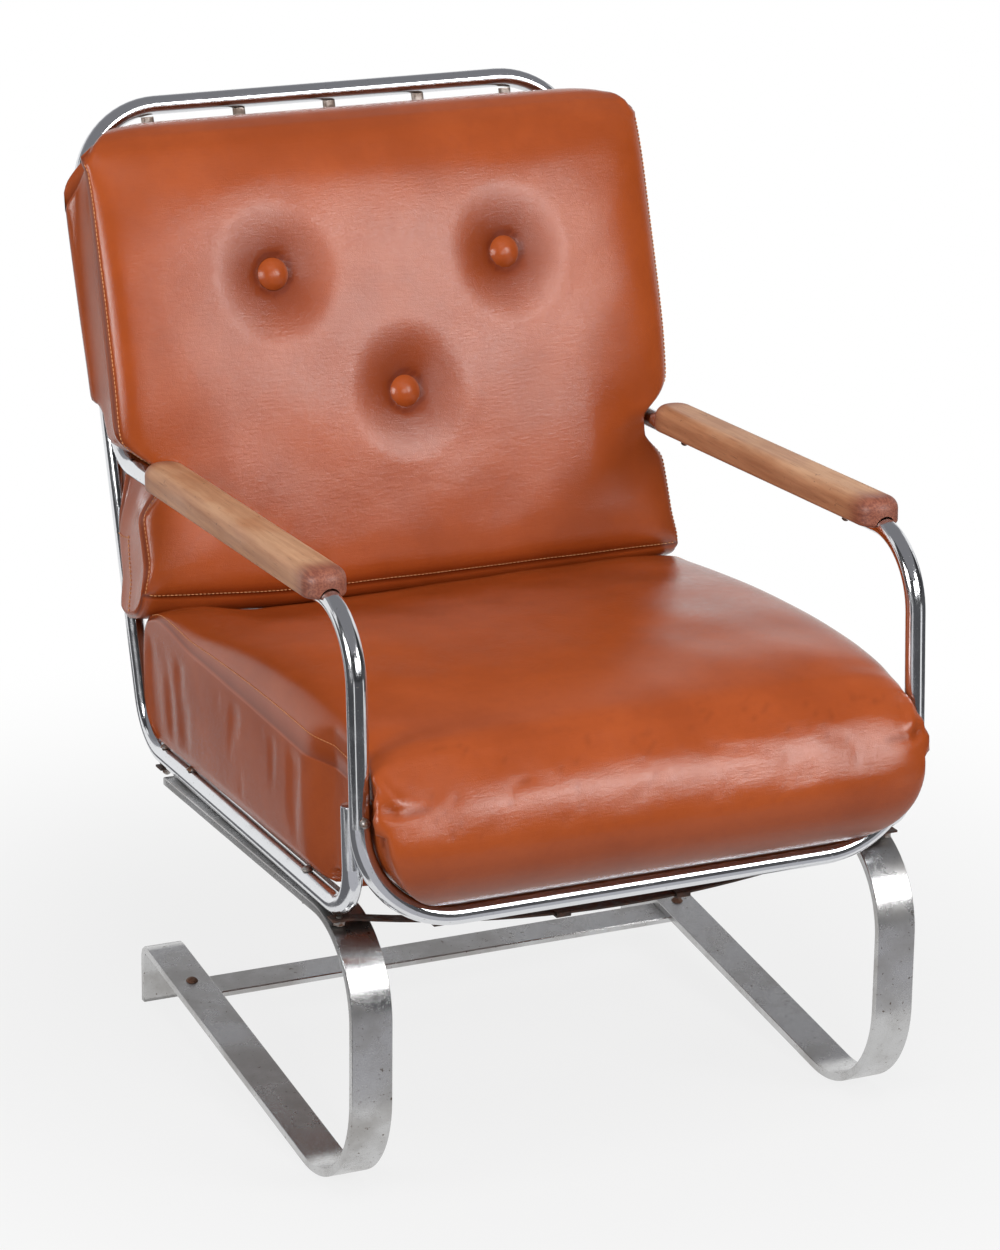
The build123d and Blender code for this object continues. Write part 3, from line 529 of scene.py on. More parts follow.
leather = saddle_leather("saddle_leather", "painted_shade")
button_leather = saddle_leather("button_leather", "")
dress(button_leather, "back_button_1", "back_button_2", "back_button_3")
print("leather ready")

# %% [markdown]
# ## Spring legs
# Each leg is one flat strip with four straight runs. Geometry Nodes draw it the way it was made:
# a line with sharp corners, each corner rounded to its own radius, and a bevelled bar section
# swept along it.

# %% Bent strip tree
LEG_THICK = 0.008
LEG_WIDTH = 0.0396
LEG_BEVEL = 0.001
STRIP_STEP = 0.006
BEND_CUTS, BEVEL_CUTS = 40, 3


def node_tree_for(name, inputs):
    """A Geometry Nodes tree with named inputs; returns the tree, its inputs and its output."""
    tree = bpy.data.node_groups.new(name, "GeometryNodeTree")
    add_socket(tree, "INPUT", "Geometry", "Geometry")
    for label, value in inputs:
        add_socket(tree, "INPUT", "Float", label).default_value = value
    add_socket(tree, "INPUT", "Material", "Finish")
    add_socket(tree, "OUTPUT", "Geometry", "Geometry")
    return tree, put(tree, "NodeGroupInput").outputs, put(tree, "NodeGroupOutput").inputs[0]


def keep_result(made):
    """Turn what the modifiers make into the object's own mesh."""
    bpy.context.view_layer.update()
    shown = made.evaluated_get(bpy.context.evaluated_depsgraph_get())
    result = bpy.data.meshes.new_from_object(shown)
    made.modifiers.clear()
    made.data = result
    result.name = made.name


def run_nodes(made, tree, finish):
    """Run a tree on an object and keep the result as a plain mesh."""
    modifier = made.modifiers.new("make", "NODES")
    modifier.node_group = tree
    for item in tree.interface.items_tree:
        if item.name == "Finish":
            modifier[item.identifier] = finish
    keep_result(made)


strip, given, result = node_tree_for("bent_strip", [
    ("Thickness", LEG_THICK), ("Width", LEG_WIDTH), ("Bevel", LEG_BEVEL), ("Step", STRIP_STEP)])
radius = put(strip, "GeometryNodeInputNamedAttribute", data_type="FLOAT", Name="bend")
section = put(strip, "GeometryNodeCurvePrimitiveQuadrilateral", mode="RECTANGLE",
              Width=given["Width"], Height=given["Thickness"])
eased = put(strip, "GeometryNodeFilletCurve", mode="POLY", Curve=section.outputs[0],
            Count=BEVEL_CUTS, Radius=given["Bevel"])
profile = {"Profile Curve": eased.outputs[0], "Fill Caps": True}
feed(result, through(
    given["Geometry"],
    put(strip, "GeometryNodeMeshToCurve"),
    put(strip, "GeometryNodeFilletCurve", mode="POLY", Count=BEND_CUTS,
        Radius=radius.outputs[0]),
    put(strip, "GeometryNodeResampleCurve", mode="LENGTH", Length=given["Step"]),
    put(strip, "GeometryNodeSetCurveNormal", mode="FREE", Normal=(1, 0, 0)),
    put(strip, "GeometryNodeCurveToMesh", **profile),
    put(strip, "GeometryNodeRealizeInstances"),
    put(strip, "GeometryNodeSetShadeSmooth"),
    put(strip, "GeometryNodeSetMaterial", Material=given["Finish"])))
print("strip tree", len(strip.nodes), "nodes")

# %% [markdown]
# The corners come from the chair's side view. The runner rises towards the back, where the heel
# turns down to the floor, and the top run falls a little. The strip bends when somebody sits.

# %% Spring legs
Y_SHIFT = -0.35449
LEG_X, TOP_LINE = 0.2694, 0.2654
RUNNER_SLOPE = 0.13
TOP_FALL = 0.01599
LOWER_R, UPPER_R, HEEL_R = 0.101, 0.0855, 0.010
FRONT_Y, HEEL_Y, TOP_END_Y = 0.007, 0.538, 0.472
FLAT_WEIGHT = 100
rise = math.atan(RUNNER_SLOPE)
runner_y = FRONT_Y + LOWER_R * (1 + math.sin(rise))
runner_z = LOWER_R + LEG_THICK / 2 - LOWER_R * math.cos(rise)


def runner_height(y):
    """Middle of the runner at a place measured back from the front rail."""
    return runner_z + (y - runner_y) * RUNNER_SLOPE


side_view = [(TOP_END_Y, TOP_LINE - TOP_FALL * (TOP_END_Y - FRONT_Y)), (FRONT_Y, TOP_LINE),
             (FRONT_Y, runner_height(FRONT_Y)), (HEEL_Y, runner_height(HEEL_Y)), (HEEL_Y, 0.0)]
bends = [0.0, UPPER_R, LOWER_R, HEEL_R, 0.0]
runs = [(i, i + 1) for i in range(len(side_view) - 1)]
for side, leg_x in (("left", -LEG_X), ("right", LEG_X)):
    corners = [(leg_x, y + Y_SHIFT, z) for y, z in side_view]
    leg = mesh_object(f"{side}_spring_strip", corners, runs, [])
    leg.data.attributes.new("bend", "FLOAT", "POINT").data.foreach_set("value", bends)
    run_nodes(leg, strip, spring_steel)
    leg.data.shade_smooth()
    leg.modifiers.new("flats", "WEIGHTED_NORMAL").weight = FLAT_WEIGHT
    keep_result(leg)
    low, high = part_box(f"{side}_spring_leg")
    print(leg.name, len(leg.data.polygons), "faces, CAD height", round(high.z - low.z, 4))
    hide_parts(f"{side}_spring_leg")
    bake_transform(leg)
print("legs made")

# %% [markdown]
# ## How a cushion is laid out
# Both cushions are sewn the same way: one long panel wraps round the foam like a sleeve, and a
# boxing strip closes each end. So the mesh is a closed side outline repeated across the width,
# blended from a full outline in the middle to a tighter one at the end seams, and each boxing is
# a small grid stretched inside the last outline. Sizes are in millimetres until the end.

# %% Cushion outlines
CURVE_STEPS = 40


def smooth_path(points, count):
    """Points at even spacing along a Catmull-Rom curve through the given ones."""
    p = np.array(points, float)
    p = np.vstack([2 * p[0] - p[1], p, 2 * p[-1] - p[-2]])
    fine = []
    for a, b, c, d in zip(p[:-3], p[1:-2], p[2:-1], p[3:]):
        for t in np.linspace(0, 1, CURVE_STEPS, endpoint=False):
            fine.append(0.5 * (2 * b + (c - a) * t + (2 * a - 5 * b + 4 * c - d) * t ** 2
                               + (3 * b - 3 * c + d - a) * t ** 3))
    fine.append(p[-2])
    fine = np.array(fine)
    steps = np.linalg.norm(np.diff(fine[:, :2], axis=0), axis=1)
    along = np.concatenate([[0], np.cumsum(steps)])
    even = np.linspace(0, along[-1], count)
    return np.column_stack([np.interp(even, along, fine[:, i]) for i in range(fine.shape[1])])


def sleeve_loop(front, end, rear, start, chain, cap):
    """A closed outline: front chain, end cap, rear chain, start cap. Rows hold the full outline,
    the seam outline, and how squarely the panel runs out to the seam."""
    whole = np.vstack([front, end, rear, start, front[:1]]).astype(float)
    marks = np.cumsum([0, len(front) - 1, len(end) + 1, len(rear) - 1, len(start) + 1])
    counts = [chain, cap + 1, chain, cap + 1]
    pieces = []
    for a, b, count in zip(marks[:-1], marks[1:], counts):
        pieces.append(smooth_path(whole[a:b + 1], count)[:-1])
    return np.vstack(pieces)


print("outline tools ready")

# %% [markdown]
# The shell repeats the outline from left to right, a little closer together near the seams, and
# then fills each end with its boxing grid. A boxing shares its border points with the sleeve, so
# the whole cover is one closed mesh.

# %% Cushion shell
EVEN_SHARE, CROWDED_SHARE = 0.55, 0.45
SWELL_POWER, BULGE_ACROSS, BULGE_ALONG = 0.5, 0.6, 0.35


def boxing_border(count, chain, cap):
    """Which outline point lies where on the border of a boxing grid; 0 inside."""
    border = np.zeros((chain, cap + 1), int)
    along, across = np.arange(chain), np.arange(1, cap)
    border[:, 0] = along
    border[:, cap] = 2 * chain + cap - 2 - along
    border[0, 1:cap] = count - across
    border[-1, 1:cap] = chain - 1 + across
    return border


def boxing_points(edge, border, side, bulge):
    """A grid stretched inside a border of edge points and swollen outwards."""
    rows, columns = border.shape
    s, t = np.meshgrid(np.linspace(0, 1, rows), np.linspace(0, 1, columns), indexing="ij")
    s, t = s[1:-1, 1:-1, None], t[1:-1, 1:-1, None]
    top, low = edge[border[1:-1, 0]], edge[border[1:-1, -1]]
    first, last = edge[border[0, 1:-1]], edge[border[-1, 1:-1]]
    near = (1 - t) * edge[border[0, 0]] + t * edge[border[0, -1]]
    far = (1 - t) * edge[border[-1, 0]] + t * edge[border[-1, -1]]
    inner = ((1 - t) * top[:, None] + t * low[:, None] + (1 - s) * first[None] + s * last[None]
             - (1 - s) * near - s * far)
    lift = bulge * np.sin(math.pi * t) ** BULGE_ACROSS * np.sin(math.pi * s) ** BULGE_ALONG
    inner[..., 0] += side * lift[..., 0]
    return inner


def shell(loop, half, columns, chain, cap, bulge):
    """The sleeve and its two boxings as one closed mesh: points, faces, and the boxing grids.
    half holds the half width along the outline, left and right."""
    count = len(loop)
    u = np.linspace(-1, 1, columns)
    u = EVEN_SHARE * u + CROWDED_SHARE * np.sin(u * math.pi / 2)
    full, seam, square = loop[:, 0:2], loop[:, 2:4], loop[:, 4]
    grid = np.zeros((columns, count, 3))
    for i, at in enumerate(u):
        swell = (1 - min(abs(at), 1) ** square) ** SWELL_POWER
        grid[i, :, 0] = (half[0] if at < 0 else half[1]) * at
        grid[i, :, 1:] = seam + (full - seam) * swell[:, None]
    faces = []
    for here in range(0, (columns - 1) * count, count):
        there = here + count
        for k in range(count):
            after = (k + 1) % count
            faces.append((here + k, there + k, there + after, here + after))
    points, boxings, used = [grid.reshape(-1, 3)], [], columns * count
    border = boxing_border(count, chain, cap)
    for side, column in ((-1, 0), (1, columns - 1)):
        index = border + column * count
        inner = boxing_points(grid[column], border, side, bulge)
        size = inner.shape[0] * inner.shape[1]
        index[1:-1, 1:-1] = used + np.arange(size).reshape(inner.shape[:2])
        used += size
        points.append(inner.reshape(-1, 3))
        boxings.append(index)
        for i in range(chain - 1):
            for j in range(cap):
                quad = (index[i, j], index[i + 1, j], index[i + 1, j + 1], index[i, j + 1])
                faces.append(quad if side < 0 else quad[::-1])
    return np.vstack(points), np.array(faces), boxings


print("shell tools ready")

# %% [markdown]
# Sculpting helpers: outward directions for pushing points in and out, a smooth step, a bell, a
# soft limit that presses leather against a tube without a hard edge, distances from a line, a
# seam that draws points in, and seeded noise for lumps and creases.

# %% Sculpting helpers
WAVES, PACE_LOW, PACE_HIGH = 9, 0.8, 1.7


def face_turns(points, faces):
    """Each face's direction, sized by its area, and 1 if the mesh faces outwards or else -1."""
    a, b, c, d = (points[faces[:, corner]] for corner in range(4))
    across = np.cross(c - a, d - b)
    return across, np.sign(np.einsum("ij,ij->", a, across))


def outward(points, faces):
    """Unit directions out of the mesh at each point."""
    across, sense = face_turns(points, faces)
    total = np.zeros_like(points)
    for corner in range(4):
        np.add.at(total, faces[:, corner], across)
    total *= sense
    return total / np.maximum(np.linalg.norm(total, axis=1), 1e-9)[:, None]


def between(x, low, high):
    """0 below low, 1 above high, smooth in between."""
    t = np.clip((x - low) / (high - low), 0, 1)
    return t * t * (3 - 2 * t)


def bell(distance, width):
    """1 at no distance, falling to nothing over a width."""
    return np.exp(-(distance / width) ** 2)


def held_under(value, limit, ease):
    """The smaller of value and limit, rounded off over ease."""
    return limit - ease * np.logaddexp(0, (limit - value) / ease)


def away(points, path):
    """Distance of each point from a line through several points, and how far along (0 to 1)."""
    path = np.array(path, float)
    best, place = np.full(len(points), 1e9), np.zeros(len(points))
    for i, (a, b) in enumerate(zip(path[:-1], path[1:])):
        t = np.clip((points - a) @ (b - a) / ((b - a) @ (b - a)), 0, 1)
        far = np.linalg.norm(points - a - t[:, None] * (b - a), axis=1)
        place = np.where(far < best, (i + t) / (len(path) - 1), place)
        best = np.minimum(best, far)
    return best, place


def lumps(points, size, seed, layers=2):
    """Smooth noise from about -1 to 1 at a lump size in millimetres."""
    rng = np.random.default_rng(seed)
    total = np.zeros(len(points))
    weight = 1.0
    for layer in range(layers):
        for wave in range(WAVES):
            way = rng.normal(size=3)
            way /= np.linalg.norm(way)
            pace = 2 * math.pi / (size * rng.uniform(PACE_LOW, PACE_HIGH)) * (2 ** layer)
            total += weight * np.sin(points @ way * pace + rng.uniform(0, 6.28)) / 3
        weight *= 0.5
    return total / 1.5


def sew(points, faces, lines, depth):
    """Sink the points of each seam line along their outward direction."""
    out = outward(points, faces)
    chosen = np.unique(np.concatenate([np.ravel(line) for line in lines]))
    points[chosen] -= depth * out[chosen]
    return points


def cushion_cover(name, points, faces, painted_shade, origin, second, third):
    """A leather cover from local millimetre points, with its faces turned outwards."""
    placed = origin + np.outer(points[:, 1], second) + np.outer(points[:, 2], third)
    placed[:, 0] = points[:, 0]
    cover = mesh_object(name, (placed / 1000).tolist(), [], faces.tolist())
    if face_turns(placed, faces)[1] < 0:
        cover.data.flip_normals()
    cover.data.shade_smooth()
    # Painted shade: each point's value darkens the leather colour there.
    cover.data.attributes.new("painted_shade", "FLOAT", "POINT").data.foreach_set("value", painted_shade)
    cover.data.materials.append(leather)
    return cover


print("cushion tools ready")

# %% [markdown]
# ## Back cushion
# The back leans against the slats and stands on the seat. Its front panel runs over the top and
# down behind, and meets the side boxings at a seam near the front edge. The arms pass through
# its waist and pinch it. Local directions: x across, v up the back, o out towards the sitter.
# Each row below holds v and o of the full outline, v and o of the seam, and the squareness.

# %% Back cushion form
BACK_ORIGIN = np.array([0.0, 552.0 + Y_SHIFT * 1000, 270.5])
BACK_UP = np.array([0.0, 0.30653, 0.95186])
BACK_OUT = np.array([0.0, -0.95186, 0.30653])
BACK_CHAIN, BACK_CAP, BACK_COLUMNS = 110, 20, 126
BACK_HALF, BACK_BULGE = 300.0, 2.5
BACK_FRONT = [(130, 89, 130, 86, 12), (139, 101, 138, 90, 12), (160, 109, 158, 93, 11),
              (200, 113.5, 200, 94, 10), (250, 116.5, 250, 94, 10), (310, 118.5, 310, 94, 10),
              (380, 119, 380, 94, 10), (450, 118.5, 450, 94, 10), (510, 116, 508, 93, 10),
              (545, 111, 541, 91, 11), (572, 101, 567, 89, 12), (590, 87, 583, 82, 14)]
BACK_TOP = [(602, 68, 589, 68, 16), (607, 48, 583, 48, 16), (604, 27, 567, 31, 16)]
BACK_REAR = [(592, 14, 545, 19, 16), (560, 10.5, 514, 14, 14), (440, 10.5, 430, 17, 12),
             (350, 10.5, 345, 23, 12), (250, 10.5, 250, 19, 12), (150, 10.5, 150, 15, 12),
             (129, 14, 130, 17, 12)]
BACK_UNDER = [(118, 27, 121, 29, 12), (116, 55, 120, 54, 12), (120, 76, 123, 74, 12)]

back_loop = sleeve_loop(BACK_FRONT, BACK_TOP, BACK_REAR, BACK_UNDER, BACK_CHAIN, BACK_CAP)
up = back_loop[:, 0]
narrow = 14 * between(300 - up, 0, 80) - 6 * between(170 - up, 0, 45)
left_half = BACK_HALF - narrow - np.interp(up, [580, 607], [0, 32])
right_half = BACK_HALF - narrow - np.interp(up, [585, 607], [0, 14])
back_points, back_faces, back_boxings = shell(
    back_loop, (left_half, right_half), BACK_COLUMNS, BACK_CHAIN, BACK_CAP, BACK_BULGE)
print("back points", len(back_points), back_points.min(0).round(1), back_points.max(0).round(1))

# %% [markdown]
# The arm tubes press a waist into both sides: every point near a tube is held under a limit
# that opens out with distance, which is how a tube sinks into foam. The upright end of each arm
# tube lies in a groove in the back of the cushion, and the lower left corner has crept upwards.
# The three buttons pull the panel down in smooth funnels.

# %% Back cushion waist and dimples
ARM_TUBE_PATH = [(0, 318, 19), (0, 301, 22.6), (0, 288, 29), (0, 277.5, 41), (0, 270, 55.5),
                 (0, 246, 142)]
ARM_LINE_O, ARM_LINE_V = [19, 55, 142], [284, 270, 246]
TUBE_R, WAIST_X, WAIST_OPENS, WAIST_CURVE, WAIST_EASE = 9.5, 263.0, 44, 1.35, 2.5
RISER_X, RISER_O, RISER_TOP, TUBE_ROOM = 273.0, 19.25, 377.0, 10.2
CREEP_X, CREEP_LIFT = [0, 140, 225, 280, 300], [0, 2, 8, 13, 18]
PINCH, PINCH_REACH, CROWN = 8, 60.0, 4.0
BUTTONS = [(-125.2, 443.5), (125.2, 443.5), (0.0, 315.5)]
BUTTON_BASE, BUTTON_EDGE, BUTTON_LINE = 106.8, 15.0, 17.0
DIMPLE_REACH, BOWL_SHARE, BOWL_CURVE, PIT_SHARE = 65.0, 0.86, 1.4, 0.14

x, v, o = back_points.T.copy()
tube_gap, _ = away(np.column_stack([np.zeros_like(v), v, o]), ARM_TUBE_PATH)
above = between(v - np.interp(o, ARM_LINE_O, ARM_LINE_V), -4, 14)
towards_front = between(o, 40, 95)
reach = above * (10 + 12 * towards_front) + (1 - above) * (72 - 38 * towards_front)
opening = 1 - np.exp(-(np.maximum(tube_gap - TUBE_R, 0) / reach) ** WAIST_CURVE)
x = np.sign(x) * held_under(abs(x), WAIST_X + WAIST_OPENS * opening, WAIST_EASE)
beside = between(v, 268, 300) * (1 - between(v, RISER_TOP, RISER_TOP + 14)) * (o < 40)
groove = RISER_O + np.sqrt(np.maximum(TUBE_ROOM ** 2 - (abs(x) - RISER_X) ** 2, 0))
groove = np.where(abs(abs(x) - RISER_X) < TUBE_ROOM, groove, o)
o = np.where(beside > 0, o + beside * np.maximum(groove - o, 0), o)
creep = np.interp(-x, CREEP_X, CREEP_LIFT) * between(230 - v, 0, 90)
v = v + creep * (0.4 + 0.6 * between(o, 52, 86))
facing = between(o, 70, 92) * between(v, 124, 136)
o = o - facing * PINCH * (bell(tube_gap, PINCH_REACH) * between(abs(x), 190, 264))
o = o - facing * CROWN * (x / BACK_HALF) ** 2
back_painted_shade = np.zeros(len(x))
for button_x, button_v in BUTTONS:
    r = np.hypot(x - button_x, (v - button_v) * 0.9)
    depth = o[np.argmin(r + 1000 * (o < 80))] - BUTTON_BASE
    cone = np.clip((DIMPLE_REACH - r) / (DIMPLE_REACH - BUTTON_EDGE), 0, 1)
    pit = PIT_SHARE * (1 - between(r, 14.5, 21.0))
    o = o - facing * depth * (BOWL_SHARE * cone ** BOWL_CURVE + pit)
    # Painted shade: the dimple bowls and a thin ring round each button are darkened in colour.
    back_painted_shade = np.maximum(back_painted_shade, facing * (0.85 * cone + 0.5 * bell(r - BUTTON_LINE, 1.8)))
print("waist", round(abs(x[tube_gap < 9]).max(), 1),
      "deepest dimple", round(o[facing > 0.9].min(), 1))

# %% [markdown]
# Seams draw the leather in: the points on a seam line sink a little, which leaves a crisp
# valley between panels. The top corners are folded like a parcel, so a slanting crease runs
# from each seam's top end over the edge. Fine creases and slow lumps finish the panel.

# %% Back cushion seams and creases
BACK_SEAM, SEAM_SHADE = 2.2, 0.8
LUMP_HEIGHT, LUMP_SIZE = 0.9, 170
CREASE_V, CREASE_SIZE, CREASE_DEPTH = 245, 80, 0.16
CORNER_FOLDS = [([(-299, 574, 90), (-288, 588, 80), (-268, 604, 58), (-245, 608, 46)], 4.5),
                ([(299, 580, 86), (294, 592, 74), (286, 603, 56)], 3.0)]

back_count = len(back_loop)
back_points = np.column_stack([x, v, o])
swelling = facing * LUMP_HEIGHT * lumps(back_points, LUMP_SIZE, 11)
back_points += outward(back_points, back_faces) * swelling[:, None]
left_seam = np.arange(back_count)
back_seams = [left_seam, left_seam + (BACK_COLUMNS - 1) * back_count,
              np.arange(BACK_COLUMNS) * back_count]
back_points = sew(back_points, back_faces, back_seams, BACK_SEAM)
# Painted shade darkens the seam valleys.
back_painted_shade[np.concatenate(back_seams)] = SEAM_SHADE
out = outward(back_points, back_faces)
for line, depth in CORNER_FOLDS:
    ear, run = away(back_points, line)
    back_points -= out * (depth * bell(ear, 3.0) * (1 - run ** 3))[:, None]
    back_points += out * (0.5 * depth * bell(ear - 8, 4.0) * (1 - run ** 3))[:, None]
    # Painted shade darkens each corner crease.
    back_painted_shade = np.maximum(back_painted_shade, bell(ear, 2.6) * 0.9 * (1 - run ** 3))
low_creases = (bell(back_points[:, 1] - CREASE_V, 45.0)
               * between(200 - abs(back_points[:, 0] - 20), 0, 120))
ridge = between(1 - abs(lumps(back_points * [0.30, 1, 1], CREASE_SIZE, 5, 3)), 0.80, 1.0)
back_points -= out * (facing * low_creases * ridge * CREASE_DEPTH)[:, None]
back_cushion = cushion_cover("back_cushion_cover", back_points, back_faces, back_painted_shade,
                             BACK_ORIGIN, BACK_UP, BACK_OUT)
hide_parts("back_cushion")
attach(back_cushion, "back_cushion")
print("back cushion", len(back_faces), "faces")

# %% [markdown]
# ## Seat cushion
# The seat has a thick crown and a rolled front that hangs over the front rail. It lies on flat
# bands, so its underside stays flat. Local directions: x across, y back from the front rail, h
# above the bands. The rows hold y and h of the full outline and of the seam, as for the back.

# %% Seat cushion form
SEAT_TILT = 0.01596
SEAT_ORIGIN = np.array([0.0, Y_SHIFT * 1000, 289.23])
SEAT_BACK = np.array([0.0, math.cos(SEAT_TILT), -math.sin(SEAT_TILT)])
SEAT_UP = np.array([0.0, math.sin(SEAT_TILT), math.cos(SEAT_TILT)])
SEAT_CHAIN, SEAT_CAP, SEAT_COLUMNS = 112, 36, 118
SEAT_HALF, SEAT_TUCK, SEAT_BULGE = 284.0, 9, 1.5
SEAT_TOP = [(0, 143, 0, 106, 11), (24, 154, 24, 109, 14), (70, 161, 70, 111, 18),
            (130, 164.5, 130, 114, 20), (200, 165, 200, 118, 20), (300, 160, 300, 123, 20),
            (400, 149, 400, 127, 20), (470, 139, 470, 127, 18), (500, 133, 500, 126, 16),
            (528, 123, 524, 117, 14)]
SEAT_REAR = [(542, 104, 537, 100, 14), (545.5, 66, 540, 62, 14), (540, 26, 534, 28, 14)]
SEAT_BOTTOM = [(515, 5, 510, 8, 14), (480, 1.2, 480, 3, 14), (250, 0.6, 250, 3, 14),
               (62, 0.2, 74, 3, 12), (24, -1.0, 40, 4, 12)]
SEAT_ROLL = [(-4, 0.0, 22, 9, 12), (-27, 13, 4, 22, 12), (-43, 37, -10, 42, 12),
             (-47.5, 66, -18, 66, 12), (-38, 96, -18, 88, 12), (-21, 124, -12, 102, 11)]

seat_loop = sleeve_loop(SEAT_TOP, SEAT_REAR, SEAT_BOTTOM, SEAT_ROLL, SEAT_CHAIN, SEAT_CAP)
seat_half = SEAT_HALF - SEAT_TUCK * between(12 - seat_loop[:, 3], 0, 12)
seat_points, seat_faces, _ = shell(
    seat_loop, (seat_half, seat_half), SEAT_COLUMNS, SEAT_CHAIN, SEAT_CAP, SEAT_BULGE)
print("seat points", len(seat_points), seat_points.min(0).round(1), seat_points.max(0).round(1))

# %% [markdown]
# The seat is squeezed between the front tubes and swells out before and behind them. Low down it
# follows the bend of the front rail, and its rear left corner stands a little high. It keeps
# clear of the tubes over the whole length that passes them when the cushion is pulled forward.

# %% Seat cushion between the tubes
LEG_GAP_Y = [-70, -24, -13, -8, 84, 106, 130, 600]
LEG_GAP_X = [279, 279, 272, 269.2, 269.2, 277, 287, 287]
CORNER_X, CORNER_H, CORNER_R = 186.0, 83.0, 83.8
REAR_LIFT = 9.0
CLEAR_FROM, CLEAR_TO, CLEAR_X, CLEAR_TRIM = -8, 84, 270.8, 10.0

x, y, h = seat_points.T.copy()
x = np.sign(x) * held_under(abs(x), np.interp(y, LEG_GAP_Y, LEG_GAP_X) + 1.5, 2.0)
bend = CORNER_X + np.sqrt(np.maximum(CORNER_R ** 2 - np.maximum(CORNER_H - h, 0) ** 2, 1))
at_bend = between(70 - y, 0, 14) * (h < CORNER_H)
pressed = held_under(abs(x), bend + 1.0, 1.5) * at_bend + abs(x) * (1 - at_bend)
x = np.where(at_bend > 0, np.sign(x) * pressed, x)
h = h + REAR_LIFT * between(-x, 170, 245) * between(y, 400, 490) * between(h, 70, 115)
low_room = CLEAR_X - CLEAR_TRIM * between(18 - h, 0, 9)
passing = (y > CLEAR_FROM) & (y < CLEAR_TO)
x = np.where(passing, np.sign(x) * np.minimum(abs(x), low_room), x)
seat_points = np.column_stack([x, y, h])
print("between the legs", round(abs(x[(y > -6) & (y < 80)]).max(), 1))

# %% [markdown]
# The front corners are tucked: each boxing ends in a short sewn dart on the roll, with a flap
# standing above it and a soft valley behind. The roll itself is crinkled from use, and the
# boxings hang in shallow upright waves. Shade is painted darker into the darts, the seam
# valleys and the deepest crinkles.

# %% Seat cushion seams, tucks and creases
SEAT_SEAM, SEAT_CREASE_SHADE = 1.8, 0.7
SLOW_LUMPS, CRINKLES, ROLL_LUMPS, BOXING_WAVES = 2.0, 0.8, 0.7, 1.6
DART = [(274, -18, 103), (258, -33, 105), (232, -35, 104)]
FLAP = [(272, -2, 130), (258, -28, 112)]
DIP = [(272, 26, 150), (225, 34, 158), (170, 30, 160)]
DART_DEPTH, DART_LIP, FLAP_HEIGHT = 5.0, 1.6, 2.8

seat_count = len(seat_loop)
out = outward(seat_points, seat_faces)
push = (between(h, 70, 110) * SLOW_LUMPS * lumps(seat_points, 200, 21)
        * between(275 - abs(x), 5, 70))
rolling = bell(y + 20, 36.0) * between(h, 48, 84) * between(270 - abs(x), 0, 25)
crinkle = 1 - abs(lumps(seat_points * [0.34, 1, 1], 46, 31, 3))
push -= rolling * CRINKLES * between(crinkle, 0.72, 1.0)
push += rolling * ROLL_LUMPS * lumps(seat_points * [1, 0.4, 0.4], 62, 33)
boxing = (between(abs(x), 262, 270) * between(h, 10, 40) * (1 - between(h, 92, 116))
          * between(y, 20, 60))
push -= boxing * BOXING_WAVES * between(lumps(seat_points * [1, 1, 0.22], 44, 41), 0.0, 0.9)
seat_painted_shade = np.zeros(len(x))
for side, dip_depth in ((-1, 5.5), (1, 1.5)):
    mirror = np.array([side, 1, 1])
    dart, run = away(seat_points, DART * mirror)
    push -= DART_DEPTH * bell(dart, 3.4) * (1 - run) ** 0.7
    push += DART_LIP * bell(dart - 9, 5.0) * (1 - run)
    flap, _ = away(seat_points, FLAP * mirror)
    push += FLAP_HEIGHT * bell(flap, 5.0)
    dip, run = away(seat_points, DIP * mirror)
    push -= dip_depth * bell(dip, 15.0) * (1 - run) ** 0.8
    # Painted shade along each dart.
    seat_painted_shade = np.maximum(seat_painted_shade, SEAT_CREASE_SHADE * bell(dart, 3.0))
seat_points = seat_points + out * push[:, None]
left_seam = np.arange(seat_count)
right_seam = left_seam + (SEAT_COLUMNS - 1) * seat_count
sewn = [seam[(h[seam] > 70) | (y[seam] > 420)] for seam in (left_seam, right_seam)]
seat_points = sew(seat_points, seat_faces, sewn, SEAT_SEAM)
# Painted shade along the seat seams.
seat_painted_shade[np.concatenate(sewn)] = SEAT_CREASE_SHADE
# Painted shade in the deepest crinkle valleys of the roll.
seat_painted_shade = np.maximum(seat_painted_shade, rolling * between(crinkle, 0.94, 1.0) * 0.3)
seat_cushion = cushion_cover("seat_cushion_cover", seat_points, seat_faces, seat_painted_shade,
                             SEAT_ORIGIN, SEAT_BACK, SEAT_UP)
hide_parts("seat_cushion")
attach(seat_cushion, "seat_cushion")
print("seat cushion", len(seat_faces), "faces")

# %% [markdown]
# ## Stitching
# Every seam is top-stitched in a lighter thread. Geometry Nodes walk along a line that lies on
# the finished leather and set one short thread at each step, turned to follow the line.

# %% Stitch tree
STITCH_PITCH, STITCH_LENGTH, STITCH_THICK = 0.0042, 0.0017, 0.00048
THREAD_DARK, THREAD_LIGHT = (0.52, 0.19, 0.06), (0.66, 0.30, 0.12)


def thread_finish():
    """Waxed thread, a little lighter than the hide."""
    made, tree = new_material("waxed_thread")
    mask = effect(tree, blotch, Scale=400.0)
    color = tint(span(mask, 0.35, 0.65), THREAD_DARK, THREAD_LIGHT)
    finish_with(color, span(mask, 0.3, 0.7, 0.5, 0.7))
    return made


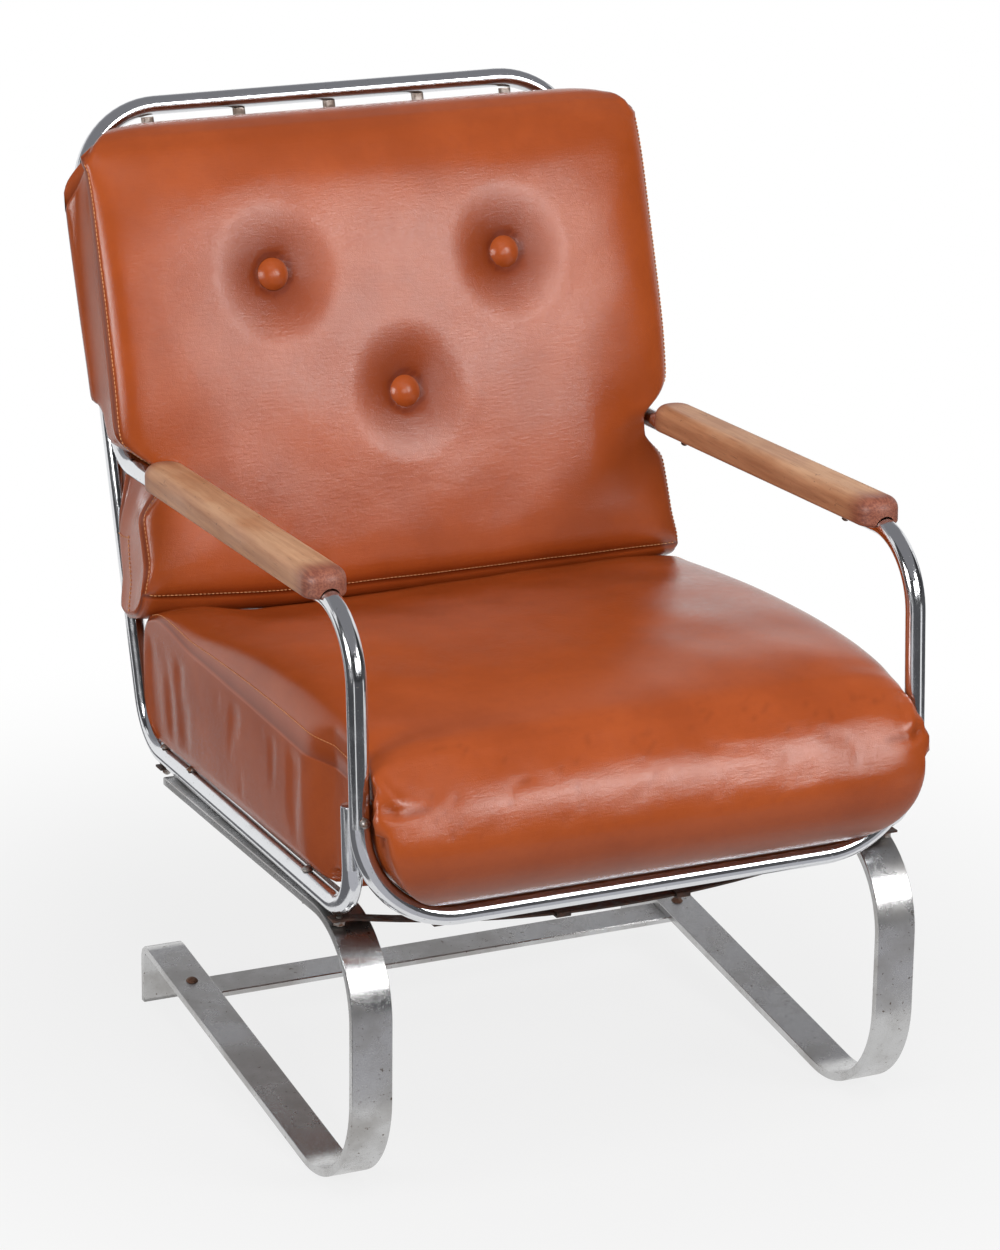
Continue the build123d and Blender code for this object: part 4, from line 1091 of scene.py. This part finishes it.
row_tree, given, result = node_tree_for("stitch_row", [
    ("Pitch", STITCH_PITCH), ("Length", STITCH_LENGTH), ("Thickness", STITCH_THICK)])
bead = put(row_tree, "GeometryNodeMeshUVSphere", Segments=6, Rings=5, Radius=1.0)
size = put(row_tree, "ShaderNodeCombineXYZ", X=given["Thickness"], Y=given["Thickness"],
           Z=given["Length"])
stitch = through(bead.outputs[0], put(row_tree, "GeometryNodeTransform", Scale=size.outputs[0]))
steps = put(row_tree, "GeometryNodeCurveToPoints", mode="LENGTH", Length=given["Pitch"])
feed(result, through(
    given["Geometry"],
    put(row_tree, "GeometryNodeMeshToCurve"), steps,
    put(row_tree, "GeometryNodeInstanceOnPoints", Rotation=steps.outputs["Rotation"],
        Instance=stitch),
    put(row_tree, "GeometryNodeRealizeInstances"),
    put(row_tree, "GeometryNodeSetShadeSmooth"),
    put(row_tree, "GeometryNodeSetMaterial", Material=given["Finish"])))
thread = thread_finish()
print("stitch tree", len(row_tree.nodes), "nodes")

# %% [markdown]
# The rows follow the cushions' own points one column in from each end seam. The back also has a
# row along its lower edge and a placket in its left boxing, drawn as two stitched lines.

# %% Stitch rows
PROUD = 0.0003
PLACKET_LINE, PLACKET_TOP = 13, 19


def seam_rows(name, cover, rows, body):
    """Stitches along rows of a cover's own points, just proud of the leather."""
    spots = np.array([vertex.co for vertex in cover.data.vertices])
    ways = np.array([normal.vector for normal in cover.data.vertex_normals])
    lines, edges, used = [], [], 0
    for row in rows:
        lines.append(spots[row] + ways[row] * PROUD)
        edges += [(used + i, used + i + 1) for i in range(len(row) - 1)]
        used += len(row)
    made = mesh_object(name, np.vstack(lines).tolist(), edges, [])
    run_nodes(made, row_tree, thread)
    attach(made, body)
    print(name, len(made.data.polygons), "faces")


placket = back_boxings[0]
rows = [[column * back_count + k for k in range(2, BACK_CHAIN - 6)]
        for column in (1, BACK_COLUMNS - 2)]
rows += [[column * back_count + 1 for column in range(3, BACK_COLUMNS - 3)],
         [placket[i, PLACKET_LINE] for i in range(2, PLACKET_TOP + 1)],
         [placket[PLACKET_TOP, j] for j in range(PLACKET_LINE, BACK_CAP)]]
seam_rows("back_stitching", back_cushion, rows, "back_cushion")
rows = [[column * seat_count + k for k in range(6, SEAT_CHAIN - 3)]
        for column in (1, SEAT_COLUMNS - 2)]
seam_rows("seat_stitching", seat_cushion, rows, "seat_cushion")
